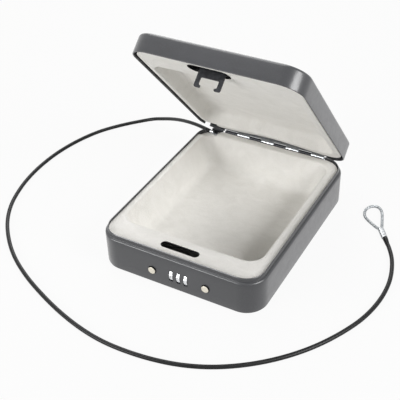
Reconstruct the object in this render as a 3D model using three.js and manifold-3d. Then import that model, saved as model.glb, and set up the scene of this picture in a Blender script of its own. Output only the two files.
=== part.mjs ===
// Portable car safe: a steel box with a hinged lid, a three-dial push-button lock and a cable.
// Millimetres, +Z up. The origin is the middle of the underside and the lock faces -Y.
import * as THREE from 'three';
import { mergeVertices } from 'three/addons/utils/BufferGeometryUtils.js';
import Module from 'manifold-3d';

const wasm = await Module();
wasm.setup();

// Driving sizes
const fit = 0.3;
const overrun = 5;
const cornerSteps = 4;
const safe = { width: 192, depth: 240, cornerRadius: 24.5, steel: 1.2 };
const base = { height: 41, lipInset: 2.6, lipRise: 5, footRound: 2.5, shoulderRound: 1.2 };
const lid = { height: 22.2, rimGap: 0.4, topRound: 3.2, openDegrees: 49.2 };
const hinge = {
  axisOut: 0.3, axisRise: 0.3, barrelRadius: 2.25, leftMargin: 31.5, rightMargin: 29.5, knuckles: 8,
  leafThick: 1, leafReach: 17, notchMargin: 2.6, pinRadius: 1, pinHeadRadius: 1.8, pinHead: 1.4,
};
const rivet = { radius: 1.7, headRadius: 3.2, head: 1.1, endInset: 20.5, fromAxis: 10 };
const liner = { wall: 1.5, flangeDrop: 2.9, rearTrim: 2.1 };
const baseTray = {
  left: 9.5, right: 15.5, front: 32.5, rear: 14.5, cornerRadius: 18,
  slope: 12, footWidth: 17, footHeight: 36,
};
const lidTray = {
  left: 9, right: 13, front: 43, rear: 14.5, cornerRadius: 18,
  slope: 6, footWidth: 12, footHeight: 11,
};
const slot = { x: -2.2, length: 45.4, width: 9.5 };
const lidSlot = { x: -7, length: 48.6, width: 19, fromHook: 1.5 };
const dial = {
  x: 4.15, z: 17.8, pitch: 8.65, radius: 9.5, width: 4, proud: 1, flats: 20,
  windowWidth: 4.8, windowHeight: 13.7, windowRound: 1.2,
};
const sleeve = { hubRadius: 4.2, discRadius: 6.8, discThick: 0.8, discGap: 1.6, gate: 2.6, gateDepth: 2.4 };
const shaft = { radius: 2, headRadius: 3, head: 1.2, clipRadius: 3.2, clip: 0.8 };
const frame = {
  thick: 1.2, height: 18, reach: 8.5, cheekClear: 1.5, rightClear: 3.2, webDrop: 2.1,
  cheekDepth: 15.4, cheekTop: 8.2, guideHalf: 4.5, guideBack: 9.3, guideDrop: 7.6, guideRise: 4.7,
};
const detent = { thick: 0.4, stripDepth: 2.5, stripBack: 5.5, finger: 3, sideReach: 2.5 };
const button = {
  leftX: -27.4, rightX: 36.5, radius: 4.2, proud: 1.8, travel: 3, holeGap: 0.4,
  flangeRadius: 5.6, flange: 1.2, stemRadius: 2.5, edgeRound: 0.5,
};
const coil = { wireRadius: 0.25, buttonRadius: 3.4, buttonTurns: 5, boltRadius: 1.9, boltTurns: 4 };
const hook = {
  x: -1.8, width: 29.6, thick: 1.6, leg: 4.6, toe: 2.4, toeHeight: 3, webBottom: 35.7, tip: 24.8,
  foot: 12, legRound: 2,
};
const bolt = {
  wheelGap: 0.4, hookGap: 0.6, thick: 1.2, height: 7, tipHeight: 3, tipGap: 0.4, tipLength: 2.7,
  arm: 6.1, rightArm: 4, rightBar: 4.6, ramp: 5, rampSetback: 2, blade: 1, bladeHeight: 1.8,
  bladeGap: 0.7, springTab: 1, springDrop: 6.3, springForward: 3.4, springRoom: 5.7, lobe: 3,
  rivetInset: 11, rivetRadius: 1.3, rivetHeadRadius: 2.4, rivetHead: 0.7,
};
const bracket = { thick: 1.2, height: 31.7, margin: 1.5, foot: 11, studInset: 7.5 };
const stud = { radius: 1.5, length: 5.6, frameInsetLeft: 9, frameInsetRight: 6.6, hookHalf: 9 };
const nut = { radius: 3.2, thick: 2.4 };
const anchor = {
  fromHinge: 9.7, inset: 9.6, plateRadius: 3.2, plate: 1.2, rivetRadius: 1.1, boreRadius: 0.8,
  headRadius: 2.4, head: 0.6, sleeveRadius: 2, sleeveStart: 3.2, sleeveLength: 4.8,
  bracketWidth: 10, bracketFront: 2.4, bracketDrop: 13, tongueHalf: 1.6, dentFront: 10.4,
};
const cable = { radius: 2.3, lift: 0.1, sides: 8, steps: 80, notchHalf: 3.1, notchShift: 1.3, notchX: 13 };
const ending = {
  collarRadius: 3, collar: 3, ferrule: 16.5, ferruleWidth: 6.6, ferruleHeight: 4.6,
  wireRadius: 1.4, wireGap: 0.4, eyeLength: 42.5, eyeWidth: 21.5, eyeSteps: 40,
};

// The cable's route, from the anchor over the lip to the ground, round the front and to its end:
// X and Y from the anchor's middle, Z how far its underside rises from where it lies on the ground
const route = [
  [-8.6, 0, 40.9], [-16.4, 1.7, 41.2], [-25, 4.6, 40.5], [-33.8, 8.2, 38.8], [-44.4, 13, 35.8],
  [-65.8, 24.1, 27.3], [-85.8, 32.9, 18.5], [-101.8, 37.9, 11.5], [-117.8, 39.2, 5.9],
  [-134.8, 32.2, 1.7], [-154.8, 13.6, 0], [-171.8, -11.4, 0], [-183.8, -40.4, 0], [-191.3, -72.4, 0],
  [-193.8, -104.4, 0], [-191.8, -136.4, 0], [-185.8, -165.4, 0], [-175.3, -194.4, 0],
  [-159.8, -220.4, 0], [-137.8, -245.4, 0], [-111.8, -267.4, 0], [-80.8, -286.4, 0], [-47.8, -301.9, 0],
  [-13.8, -314.9, 0], [18.2, -323.9, 0], [46.2, -328.4, 0], [74.2, -328.9, 0], [104.2, -325.9, 0],
  [132.2, -319.4, 0], [159.2, -308.4, 0], [186.2, -291.4, 0], [211.2, -269.4, 0], [233.2, -242.9, 0],
  [251.2, -212.4, 0], [264.2, -180.4, 0], [270.2, -147.4, 0], [269.2, -115.4, 0], [261.2, -85.4, 0],
  [251.7, -66.9, 0], [243.6, -55.4, 0],
];

// The bare wire eye, as shares of its length and width, from one strand round to the other
const eyeShares = [
  [0.09, -0.18], [0.26, -0.33], [0.44, -0.47], [0.6, -0.53], [0.75, -0.47], [0.88, -0.33],
  [0.97, -0.12], [1, 0.14], [0.95, 0.36], [0.83, 0.46], [0.65, 0.44], [0.44, 0.33], [0.24, 0.21],
  [0.09, 0.12],
];

// Levels and places worked out from the driving sizes
const front = -safe.depth / 2;
const rear = safe.depth / 2;
const frontInside = front + safe.steel;
const rearInside = rear - safe.steel;
const lipTop = base.height + base.lipRise;
const rim = base.height + lid.rimGap;
const lidTop = rim + lid.height - lid.rimGap;
const axisY = rear + hinge.axisOut;
const axisZ = base.height + hinge.axisRise;
const leafBack = rearInside - fit;
const leafFront = leafBack - hinge.leafThick;
const throatInset = base.lipInset + safe.steel;
const linerInset = throatInset + fit;
const flangeTop = lipTop - liner.flangeDrop;
const lidFlange = flangeTop + fit;
const dialY = front - dial.proud + dial.radius;
const dialLeft = dial.x - dial.pitch;
const dialRight = dial.x + dial.pitch;
const discLeft = dial.width / 2 + sleeve.discGap;
const sleeveEnd = discLeft + sleeve.discThick;
const boltFront = dialY + dial.radius + bolt.wheelGap;
const boltBack = boltFront + bolt.thick;
const hookBack = boltFront - bolt.hookGap;
const hookFront = hookBack - hook.thick;
const hookY = (hookFront + hookBack) / 2;
const bracketFront = boltBack + fit;
const bracketBack = bracketFront + bracket.thick;
const frameFront = frontInside + fit;
const frameBack = frameFront + frame.thick;
const cheekLeft = dialLeft - dial.width / 2 - frame.cheekClear;
const cheekRight = dialRight + sleeveEnd + frame.rightClear;
const hingeStart = -safe.width / 2 + hinge.leftMargin;
const hingeEnd = safe.width / 2 - hinge.rightMargin;
const anchorX = hingeStart - anchor.fromHinge;
const anchorY = rear - anchor.inset;
const padTop = lidFlange - 3 * fit - anchor.plate - anchor.head;
const shelfTop = padTop - liner.wall - fit;
const cableTop = base.height + 2 * (cable.radius + fit);
const cableGap = [
  anchorY + cable.notchShift - cable.notchHalf, anchorY + cable.notchShift + cable.notchHalf,
];

// Outlines
const axes = {
  x: new THREE.Matrix4().makeBasis(
    new THREE.Vector3(0, 1, 0), new THREE.Vector3(0, 0, 1), new THREE.Vector3(1, 0, 0)),
  y: new THREE.Matrix4().makeBasis(
    new THREE.Vector3(1, 0, 0), new THREE.Vector3(0, 0, 1), new THREE.Vector3(0, -1, 0)),
  z: new THREE.Matrix4(),
};

function polygon(points) {
  return new THREE.Shape(points.map(([u, v]) => new THREE.Vector2(u, v)));
}

function roundedRect(left, right, low, high, radius) {
  const shape = new THREE.Shape();
  shape.absarc(right - radius, low + radius, radius, -Math.PI / 2, 0);
  shape.absarc(right - radius, high - radius, radius, 0, Math.PI / 2);
  shape.absarc(left + radius, high - radius, radius, Math.PI / 2, Math.PI);
  shape.absarc(left + radius, low + radius, radius, Math.PI, 1.5 * Math.PI);
  shape.closePath();
  return shape;
}

// The plan of the box, drawn in by an inset, and again by a trim at the hinge side
function plan(inset, rearTrim = 0) {
  const half = safe.width / 2 - inset;
  return roundedRect(-half, half, front + inset, rear - inset - rearTrim, safe.cornerRadius - inset);
}

function trayMouth(tray, grow) {
  return roundedRect(
    -safe.width / 2 + tray.left - grow, safe.width / 2 - tray.right + grow,
    front + tray.front - grow, rear - tray.rear + grow, tray.cornerRadius + grow);
}

// Solids from three.js geometry
function signedVolume(positions, index) {
  const a = new THREE.Vector3();
  const b = new THREE.Vector3();
  const c = new THREE.Vector3();
  let volume = 0;
  for (let i = 0; i < index.length; i += 3) {
    a.fromArray(positions, 3 * index[i]);
    b.fromArray(positions, 3 * index[i + 1]);
    c.fromArray(positions, 3 * index[i + 2]);
    volume += a.dot(b.cross(c)) / 6;
  }
  return volume;
}

function solid(geometry) {
  geometry.deleteAttribute('normal');
  geometry.deleteAttribute('uv');
  const merged = mergeVertices(geometry);
  const positions = merged.attributes.position.array;
  const corners = [];
  for (let i = 0; i < merged.index.count; i += 3) {
    const [a, b, c] = merged.index.array.slice(i, i + 3);
    if (a !== b && b !== c && c !== a) corners.push(a, b, c);
  }
  if (signedVolume(positions, corners) < 0) corners.reverse();
  return new wasm.Manifold(new wasm.Mesh({
    numProp: 3, vertProperties: new Float32Array(positions), triVerts: new Uint32Array(corners),
  }));
}

function geometryOf(body) {
  const mesh = body.getMesh();
  const geometry = new THREE.BufferGeometry();
  geometry.setAttribute('position', new THREE.BufferAttribute(mesh.vertProperties, 3));
  geometry.setIndex(new THREE.BufferAttribute(mesh.triVerts, 1));
  return geometry;
}

function join(...bodies) {
  return bodies.reduce((whole, body) => whole.add(body));
}

function box([left, right], [near, far], [low, high]) {
  const form = new THREE.BoxGeometry(right - left, far - near, high - low);
  form.translate((left + right) / 2, (near + far) / 2, (low + high) / 2);
  return solid(form);
}

// A prism along an axis: its outline is in YZ for x, in XZ for y and in XY for z
function prism(axis, outline, low, high, curveSegments = cornerSteps) {
  const form = new THREE.ExtrudeGeometry(outline, {
    depth: high - low, bevelEnabled: false, curveSegments,
  });
  form.applyMatrix4(axes[axis]);
  const start = axis === 'y' ? high : low;
  form.translate(axis === 'x' ? start : 0, axis === 'y' ? start : 0, axis === 'z' ? start : 0);
  return solid(form);
}

// A block with a rounded or sloped border at both ends, inside its outline
function block(outline, low, high, bevelHeight, bevelWidth, bevelSegments) {
  const form = new THREE.ExtrudeGeometry(outline, {
    depth: high - low - 2 * bevelHeight, bevelEnabled: true, bevelThickness: bevelHeight,
    bevelSize: bevelWidth, bevelOffset: -bevelWidth, bevelSegments, curveSegments: cornerSteps,
  });
  form.translate(0, 0, low + bevelHeight);
  return solid(form);
}

// A pan-shaped block with one rounding round its bottom and another round its top
function pan(outline, low, high, lowRound, highRound) {
  const lower = block(outline, low, high + lowRound + overrun, lowRound, lowRound, 3);
  const upper = block(outline, low - highRound - overrun, high, highRound, highRound, 3);
  return lower.intersect(upper);
}

// A turned piece: its profile is a list of radius and height, from axis to axis
function turned(axis, [x, y, z], profile, sides = 18) {
  const form = new THREE.LatheGeometry(profile.map(([r, h]) => new THREE.Vector2(r, h)), sides);
  if (axis === 'x') form.rotateZ(-Math.PI / 2);
  if (axis === 'z') form.rotateX(Math.PI / 2);
  form.translate(x, y, z);
  return solid(form);
}

function rod(axis, [x, y, z], low, high, radius, sides = 18) {
  return turned(axis, [x, y, z], [[0, low], [radius, low], [radius, high], [0, high]], sides);
}

// A wire or cord of round section along a curve
function tube(curve, radius, sides, steps) {
  const section = new THREE.Shape();
  section.absarc(0, 0, radius, 0, 2 * Math.PI);
  return solid(new THREE.ExtrudeGeometry(section, {
    steps, extrudePath: curve, bevelEnabled: false, curveSegments: sides / 2,
  }));
}

class Helix extends THREE.Curve {
  constructor(start, direction, length, radius, turns) {
    super();
    Object.assign(this, { start, direction, length, radius, turns });
  }

  getPoint(t, target = new THREE.Vector3()) {
    const angle = 2 * Math.PI * this.turns * t;
    const across = new THREE.Vector3(0, 0, 1);
    const side = new THREE.Vector3().crossVectors(this.direction, across);
    return target.copy(this.start)
      .addScaledVector(this.direction, this.length * t)
      .addScaledVector(across, this.radius * Math.cos(angle))
      .addScaledVector(side, this.radius * Math.sin(angle));
  }
}

function spring(start, end, radius, turns) {
  const direction = new THREE.Vector3().subVectors(end, start);
  const length = direction.length() - 2 * (fit + coil.wireRadius);
  direction.normalize();
  const first = start.clone().addScaledVector(direction, fit + coil.wireRadius);
  return tube(new Helix(first, direction, length, radius, turns), coil.wireRadius, 6, 8 * turns);
}

function hexNut(axis, place, low) {
  const body = rod(axis, place, low, low + nut.thick, nut.radius, 6);
  return body.subtract(rod(axis, place, low - overrun, low + overrun, stud.radius + fit, 12));
}

// Materials
const finishes = {
  paint: { color: '#5d5e61', roughness: 0.45, metalness: 0.35 },
  flock: { color: '#dcd9d2', roughness: 0.95, metalness: 0 },
  darkSteel: { color: '#2d2e30', roughness: 0.5, metalness: 0.6 },
  hingeSteel: { color: '#8b8c8e', roughness: 0.35, metalness: 0.9 },
  zinc: { color: '#b9bbbe', roughness: 0.35, metalness: 0.9 },
  wheel: { color: '#c9cacc', roughness: 0.3, metalness: 0.8 },
  cap: { color: '#d9d5c8', roughness: 0.25, metalness: 0.5 },
  aluminium: { color: '#b4b6b8', roughness: 0.4, metalness: 0.9 },
  wire: { color: '#9fa1a3', roughness: 0.4, metalness: 0.9 },
  coating: { color: '#17181a', roughness: 0.45, metalness: 0 },
};

const part = new THREE.Group();
const lidTurn = new THREE.Group();
const lidPieces = new THREE.Group();
lidTurn.position.set(0, axisY, axisZ);
lidTurn.rotation.x = -THREE.MathUtils.degToRad(lid.openDegrees);
lidPieces.position.set(0, -axisY, -axisZ);
lidTurn.add(lidPieces);
part.add(lidTurn);

function piece(name, body, finish, group = part) {
  const mesh = new THREE.Mesh(geometryOf(body), new THREE.MeshStandardMaterial(finishes[finish]));
  mesh.name = name;
  group.add(mesh);
}

// Places that several pieces share
const notchX = [hingeStart - hinge.notchMargin, hingeEnd + hinge.notchMargin];
const rivetXs = [
  hingeStart + rivet.endInset, (hingeStart + hingeEnd) / 2, hingeEnd - rivet.endInset,
];
const baseRivetZ = axisZ - rivet.fromAxis;
const lidRivetZ = axisZ + rivet.fromAxis;
const studXs = [cheekLeft - stud.frameInsetLeft, cheekRight + stud.frameInsetRight];
const hookStudXs = [hook.x - stud.hookHalf, hook.x + stud.hookHalf];
const hookStudY = hookBack + hook.foot / 2;
const bracketX = [
  button.leftX - button.stemRadius - bolt.rampSetback - bracket.margin,
  button.rightX + button.stemRadius + bolt.rampSetback + bracket.margin,
];
const bracketStudXs = [bracketX[0] + bracket.studInset, bracketX[1] - bracket.studInset];
const bracketStudY = bracketBack + bracket.foot / 2;

function rivetHoles(z) {
  const holes = rivetXs.map((x) => rod(
    'y', [x, 0, z], leafFront - overrun, rear + overrun, rivet.radius + fit, 12));
  return join(...holes);
}

// Base: folded tray, stepped lip, lock holes, hinge notch, cable notch and welded studs
function dialWindow(x) {
  const half = dial.windowWidth / 2;
  const rise = dial.windowHeight / 2;
  const outline = roundedRect(x - half, x + half, dial.z - rise, dial.z + rise, dial.windowRound);
  return prism('y', outline, front - overrun, frontInside + overrun, 3);
}

function baseShell() {
  const body = pan(plan(0), 0, base.height, base.footRound, base.shoulderRound);
  const lip = prism('z', plan(base.lipInset), base.height - safe.steel, lipTop);
  const inside = pan(
    plan(safe.steel), safe.steel, base.height - safe.steel,
    base.footRound - safe.steel / 2, base.shoulderRound - safe.steel / 2);
  const throat = prism('z', plan(throatInset), base.height - 2 * safe.steel, lipTop + overrun);
  const windows = [dialLeft, dial.x, dialRight].map(dialWindow);
  const buttonHoles = [button.leftX, button.rightX].map((x) => rod(
    'y', [x, 0, dial.z], front - overrun, frontInside + overrun, button.radius + button.holeGap, 24));
  const hingeNotch = box(
    notchX, [rear - throatInset - fit, rear + overrun],
    [axisZ - hinge.barrelRadius - fit, lipTop + overrun]);
  const cableNotch = box(
    [-safe.width / 2, -safe.width / 2 + base.lipInset + cable.notchX],
    cableGap, [padTop, lipTop + overrun])
    .intersect(prism('z', plan(base.lipInset), padTop, lipTop + overrun));
  const frameStuds = studXs.map((x) => rod(
    'y', [x, 0, dial.z], frontInside - safe.steel / 2, frontInside + stud.length, stud.radius, 12));
  const floorStuds = bracketStudXs.map((x) => rod(
    'z', [x, bracketStudY, 0], safe.steel / 2, safe.steel + stud.length, stud.radius, 12));
  return join(body, lip)
    .subtract(join(inside, throat, hingeNotch, cableNotch, rivetHoles(baseRivetZ)))
    .subtract(join(...windows, ...buttonHoles))
    .add(join(...frameStuds, ...floorStuds));
}

// Lid: closed here, turned open by its group
function lidShell() {
  const body = pan(plan(0), rim, lidTop, 0.25 * safe.steel, lid.topRound);
  const inside = pan(
    plan(safe.steel), rim - overrun, lidTop - safe.steel, 0.25 * safe.steel, lid.topRound - safe.steel);
  const hingeNotch = box(
    notchX, [rear - throatInset - fit, rear + overrun],
    [rim - overrun, axisZ + hinge.barrelRadius + fit]);
  const cableNotch = box(
    [-safe.width / 2 - overrun, -safe.width / 2 + cable.notchX], cableGap, [rim - overrun, cableTop]);
  const hookStuds = hookStudXs.map((x) => rod(
    'z', [x, hookStudY, 0], lidTop - safe.steel - stud.length, lidTop - safe.steel / 2, stud.radius, 12));
  return body
    .subtract(join(inside, hingeNotch, cableNotch, rivetHoles(lidRivetZ)))
    .add(join(...hookStuds));
}

// Liners: a flange round a tray with sloped sides and a soft foot
function slotCut(opening, y, low, high) {
  const half = opening.length / 2;
  const round = opening.width / 2;
  const outline = roundedRect(opening.x - half, opening.x + half, y - round, y + round, round);
  return prism('z', outline, low, high);
}

function bowl(tray, grow, mouth, floor) {
  const outline = trayMouth(tray, grow);
  const depth = Math.abs(mouth - floor);
  const up = floor > mouth;
  const ends = (height) => (up
    ? [mouth - height - overrun, floor]
    : [floor, mouth + height + overrun]);
  const sloped = block(outline, ...ends(depth), depth, tray.slope, 1);
  const footed = block(outline, ...ends(tray.footHeight), tray.footHeight, tray.footWidth, 4);
  return sloped.intersect(footed);
}

function baseLiner() {
  const floor = safe.steel + fit + liner.wall;
  const flange = prism('z', plan(linerInset), flangeTop - liner.wall, flangeTop);
  const skin = bowl(baseTray, liner.wall, flangeTop, floor - liner.wall)
    .intersect(prism('z', plan(linerInset), 0, flangeTop));
  const hollow = bowl(baseTray, 0, flangeTop, floor);
  // The rear left corner is pressed down, so that the lid clears the cable's eyelet and rivet
  const padX = [-safe.width / 2, anchorX + anchor.plateRadius + fit];
  const padY = [anchorY - anchor.dentFront, rear];
  const padSkin = box(
    [padX[0], padX[1] + liner.wall], [padY[0] - liner.wall, rear], [padTop - liner.wall, flangeTop])
    .intersect(prism('z', plan(linerInset), 0, flangeTop));
  const dent = box(padX, padY, [padTop, flangeTop + overrun]);
  const rivetHole = rod('z', [anchorX, anchorY, 0], 0, lipTop, anchor.rivetRadius + fit, 12);
  return join(flange, skin, padSkin)
    .subtract(join(hollow, dent, rivetHole))
    .subtract(slotCut(slot, hookY, flangeTop - overrun, flangeTop + overrun));
}

function lidLiner() {
  const ceiling = lidTop - safe.steel - fit - liner.wall;
  const outline = plan(linerInset, liner.rearTrim);
  const flange = prism('z', outline, lidFlange, lidFlange + liner.wall);
  const skin = bowl(lidTray, liner.wall, lidFlange, ceiling + liner.wall)
    .intersect(prism('z', outline, lidFlange, lidTop));
  // A channel in the rear left corner gives room for the cable and the eyelet's sleeve
  const wayX = [-safe.width / 2, anchorX - anchor.sleeveStart + 2 * fit];
  const wayY = [anchorY - cable.notchHalf, rear];
  const waySkin = box(
    [wayX[0], wayX[1] + liner.wall], [wayY[0] - liner.wall, rear], [lidFlange, cableTop + liner.wall])
    .intersect(prism('z', outline, lidFlange, lidTop));
  const cableWay = box(wayX, wayY, [lidFlange - overrun, cableTop]);
  const hollow = bowl(lidTray, 0, lidFlange, ceiling);
  return join(flange, skin, waySkin)
    .subtract(join(hollow, cableWay))
    .subtract(slotCut(lidSlot, hookY + lidSlot.fromHook, lidFlange - overrun, lidFlange + overrun));
}

// Piano hinge: knuckles of both leaves take turns along one pin
function hingeLeaf(isLid) {
  const pitch = (hingeEnd - hingeStart) / hinge.knuckles;
  const z = isLid ? [axisZ, axisZ + hinge.leafReach] : [axisZ - hinge.leafReach, axisZ];
  const clear = hinge.barrelRadius + fit;
  let body = box([hingeStart, hingeEnd], [leafFront, leafBack], z);
  for (let i = 0; i < hinge.knuckles; i += 1) {
    const span = [hingeStart + i * pitch, hingeStart + (i + 1) * pitch];
    const own = (i % 2 === 1) === isLid;
    body = own
      ? body.add(rod('x', [0, axisY, axisZ], span[0] + fit / 2, span[1] - fit / 2, hinge.barrelRadius))
      : body.subtract(box([span[0] - fit / 2, span[1] + fit / 2], [leafFront - overrun, axisY + overrun],
        [axisZ - clear, axisZ + clear]));
  }
  const bore = rod('x', [0, axisY, axisZ], hingeStart - overrun, hingeEnd + overrun,
    hinge.pinRadius + fit / 2, 12);
  return body.subtract(bore).subtract(rivetHoles(isLid ? lidRivetZ : baseRivetZ));
}

function hingePin() {
  const start = hingeStart - fit;
  const end = hingeEnd + hinge.pinRadius;
  const r = hinge.pinHeadRadius;
  return turned('x', [0, axisY, axisZ], [
    [0, start - hinge.pinHead], [0.6 * r, start - 0.85 * hinge.pinHead], [r, start - 0.4 * hinge.pinHead],
    [r, start], [hinge.pinRadius, start], [hinge.pinRadius, end], [0, end],
  ], 16);
}

function leafRivet(x, z) {
  const inner = leafFront - fit;
  const outer = rear + fit;
  return turned('y', [x, 0, z], [
    [0, inner - rivet.head / 2], [rivet.headRadius - rivet.head / 2, inner - rivet.head / 2],
    [rivet.headRadius - rivet.head / 2, inner], [rivet.radius, inner], [rivet.radius, outer],
    [rivet.headRadius, outer], [0.75 * rivet.headRadius, outer + 0.7 * rivet.head],
    [0, outer + rivet.head],
  ], 12);
}

// Hook: a bent plate with two legs and inward toes, bolted under the lid's top
function latchHook() {
  const half = hook.width / 2;
  const top = lidTop - safe.steel - fit;
  const inner = half - hook.leg;
  const r = hook.legRound;
  const outline = new THREE.Shape();
  outline.moveTo(hook.x - half, top);
  outline.lineTo(hook.x - half, hook.tip + r);
  outline.absarc(hook.x - half + r, hook.tip + r, r, Math.PI, 1.5 * Math.PI);
  outline.lineTo(hook.x - inner + hook.toe, hook.tip);
  outline.lineTo(hook.x - inner + hook.toe, hook.tip + hook.toeHeight);
  outline.lineTo(hook.x - inner, hook.tip + hook.toeHeight);
  outline.lineTo(hook.x - inner, hook.webBottom);
  outline.lineTo(hook.x + inner, hook.webBottom);
  outline.lineTo(hook.x + inner, hook.tip + hook.toeHeight);
  outline.lineTo(hook.x + inner - hook.toe, hook.tip + hook.toeHeight);
  outline.lineTo(hook.x + inner - hook.toe, hook.tip);
  outline.absarc(hook.x + half - r, hook.tip + r, r, -Math.PI / 2, 0);
  outline.lineTo(hook.x + half, top);
  const foot = box(
    [hook.x - half, hook.x + half], [hookFront, hookBack + hook.foot], [top - hook.thick, top]);
  const holes = hookStudXs.map((x) => rod(
    'z', [x, hookStudY, 0], top - overrun, top + overrun, stud.radius + fit, 12));
  return prism('y', outline, hookFront, hookBack).add(foot).subtract(join(...holes));
}

// Lock frame: a plate behind the front wall, two cheeks for the shaft and two button guides
function buttonGuide(x) {
  const span = [x - frame.guideHalf, x + frame.guideHalf];
  const back = frameFront + frame.guideBack;
  const floor = dial.z - frame.guideDrop;
  return join(
    box(span, [frameFront, back], [floor, floor + frame.thick]),
    box(span, [back - frame.thick, back], [floor, dial.z + frame.guideRise]));
}

function lockFrame() {
  const z = [dial.z - frame.height / 2, dial.z + frame.height / 2];
  const webTop = dial.z - dial.radius - frame.webDrop;
  const cheekY = [frameFront, frameFront + frame.cheekDepth];
  const cheekZ = [webTop - frame.thick, dial.z + frame.cheekTop];
  const through = [frameFront - overrun, frameBack + overrun];
  const plates = [
    box([button.leftX - frame.reach, cheekLeft], [frameFront, frameBack], z),
    box([cheekRight, button.rightX + frame.reach], [frameFront, frameBack], z),
  ];
  const cheeks = [
    box([cheekLeft - frame.thick, cheekLeft], cheekY, cheekZ),
    box([cheekRight, cheekRight + frame.thick], cheekY, cheekZ),
    box([cheekLeft - frame.thick, cheekRight + frame.thick], cheekY, [webTop - frame.thick, webTop]),
  ];
  const studHoles = studXs.map((x) => rod('y', [x, 0, dial.z], ...through, stud.radius + fit, 12));
  const flangeHoles = [button.leftX, button.rightX].map((x) => rod(
    'y', [x, 0, dial.z], ...through, button.flangeRadius + fit, 24));
  const stemHoles = [button.leftX, button.rightX].map((x) => rod(
    'y', [x, 0, dial.z], frameBack + fit, frameFront + frame.guideBack + overrun,
    button.stemRadius + fit, 16));
  const shaftHole = rod('x', [0, dialY, dial.z], cheekLeft - overrun, cheekRight + overrun,
    shaft.radius + fit, 16);
  return join(...plates, ...cheeks)
    .subtract(join(...flangeHoles))
    .add(join(buttonGuide(button.leftX), buttonGuide(button.rightX)))
    .subtract(join(...studHoles, ...stemHoles, shaftHole));
}

function dialShaft() {
  const left = cheekLeft - frame.thick - fit;
  const right = cheekRight + frame.thick + 2 * fit + shaft.clip + shaft.radius / 2;
  return turned('x', [0, dialY, dial.z], [
    [0, left - shaft.head], [shaft.headRadius, left - shaft.head], [shaft.headRadius, left],
    [shaft.radius, left], [shaft.radius, right], [0, right],
  ], 16);
}

function shaftClip() {
  const left = cheekRight + frame.thick + fit;
  const place = [0, dialY, dial.z];
  const mouth = box(
    [left - overrun, left + overrun], [dialY, dialY + 2 * shaft.clipRadius],
    [dial.z - shaft.radius / 2, dial.z + shaft.radius / 2]);
  return rod('x', place, left, left + shaft.clip, shaft.clipRadius, 16)
    .subtract(rod('x', place, left - overrun, left + overrun, shaft.radius + fit / 2, 16))
    .subtract(mouth);
}

function dialWheel(x) {
  const place = [0, dialY, dial.z];
  return rod('x', place, x - dial.width / 2, x + dial.width / 2, dial.radius, dial.flats)
    .subtract(rod('x', place, x - overrun, x + overrun, sleeve.hubRadius + fit, 20));
}

// Each wheel's sleeve carries a disc with a gate, which faces the latch bolts when the code is set
function dialSleeve(x) {
  const place = [0, dialY, dial.z];
  const hub = rod('x', place, x - dial.width / 2, x + sleeveEnd, sleeve.hubRadius, 20);
  const disc = rod('x', place, x + discLeft, x + sleeveEnd, sleeve.discRadius, 20);
  const gate = box(
    [x + discLeft - fit / 2, x + sleeveEnd + overrun],
    [dialY + sleeve.discRadius - sleeve.gateDepth, dialY + sleeve.discRadius + overrun],
    [dial.z - sleeve.gate / 2, dial.z + sleeve.gate / 2]);
  return hub.add(disc.subtract(gate))
    .subtract(rod('x', place, x - overrun, x + sleeveEnd + overrun, shaft.radius + fit, 16));
}

// Detent spring: one finger under each wheel
function detentSpring() {
  const low = dial.z - dial.radius - frame.webDrop + fit;
  const root = dialY + detent.stripBack;
  const tip = dial.z - dial.radius - fit;
  const strip = box(
    [dialLeft - detent.sideReach, dialRight + detent.sideReach],
    [root - detent.stripDepth, root], [low, low + detent.thick]);
  const finger = polygon([
    [root - detent.stripDepth / 2, low], [root - detent.stripDepth / 2, low + detent.thick],
    [dialY, tip], [dialY, tip - detent.thick],
  ]);
  const fingers = [dialLeft, dial.x, dialRight].map((x) => prism(
    'x', finger, x - detent.finger / 2, x + detent.finger / 2));
  return join(strip, ...fingers);
}

// Buttons: a cap, a flange behind the wall, and a stem with a wedge that moves its bolt inward
const rampGap = fit * Math.SQRT2;

function pushButton(x, side) {
  const face = front - button.proud;
  const flangeStart = frontInside + fit;
  const r = button.radius;
  const half = button.stemRadius;
  const wedgeTip = boltFront - bolt.rampSetback;
  const wedgeStart = wedgeTip - 2 * half;
  const turnedBody = turned('y', [x, 0, dial.z], [
    [0, face], [r - button.edgeRound, face], [r, face + button.edgeRound], [r, flangeStart],
    [button.flangeRadius, flangeStart], [button.flangeRadius, flangeStart + button.flange],
    [half, flangeStart + button.flange], [half, wedgeStart], [0, wedgeStart],
  ], 24);
  const wedge = prism('z', polygon([
    [x - half, wedgeStart - fit], [x + half, wedgeStart - fit],
    [x + half, side > 0 ? wedgeStart : wedgeTip], [x - half, side > 0 ? wedgeTip : wedgeStart],
  ]), dial.z - 0.7 * half, dial.z + 0.7 * half);
  return turnedBody.add(wedge);
}

function buttonSpring(x) {
  const start = frontInside + fit + button.flange;
  const end = frameFront + frame.guideBack - frame.thick;
  return spring(
    new THREE.Vector3(x, start, dial.z), new THREE.Vector3(x, end, dial.z),
    coil.buttonRadius, coil.buttonTurns);
}

// Latch bolts: side 1 is the left bolt, which slides to +X, and side -1 is the right bolt
function outerEnd(side) {
  const x = side > 0 ? button.leftX : button.rightX;
  return x - side * (button.stemRadius + bolt.rampSetback - rampGap);
}

function span(from, to) {
  return from < to ? [from, to] : [to, from];
}

function rampTab(side) {
  const end = outerEnd(side);
  return prism('z', polygon([
    [end, boltFront], [end + side * bolt.ramp, boltFront - bolt.ramp],
    [end + side * bolt.ramp, boltBack], [end, boltBack],
  ]), dial.z - button.stemRadius, dial.z + button.stemRadius);
}

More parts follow.
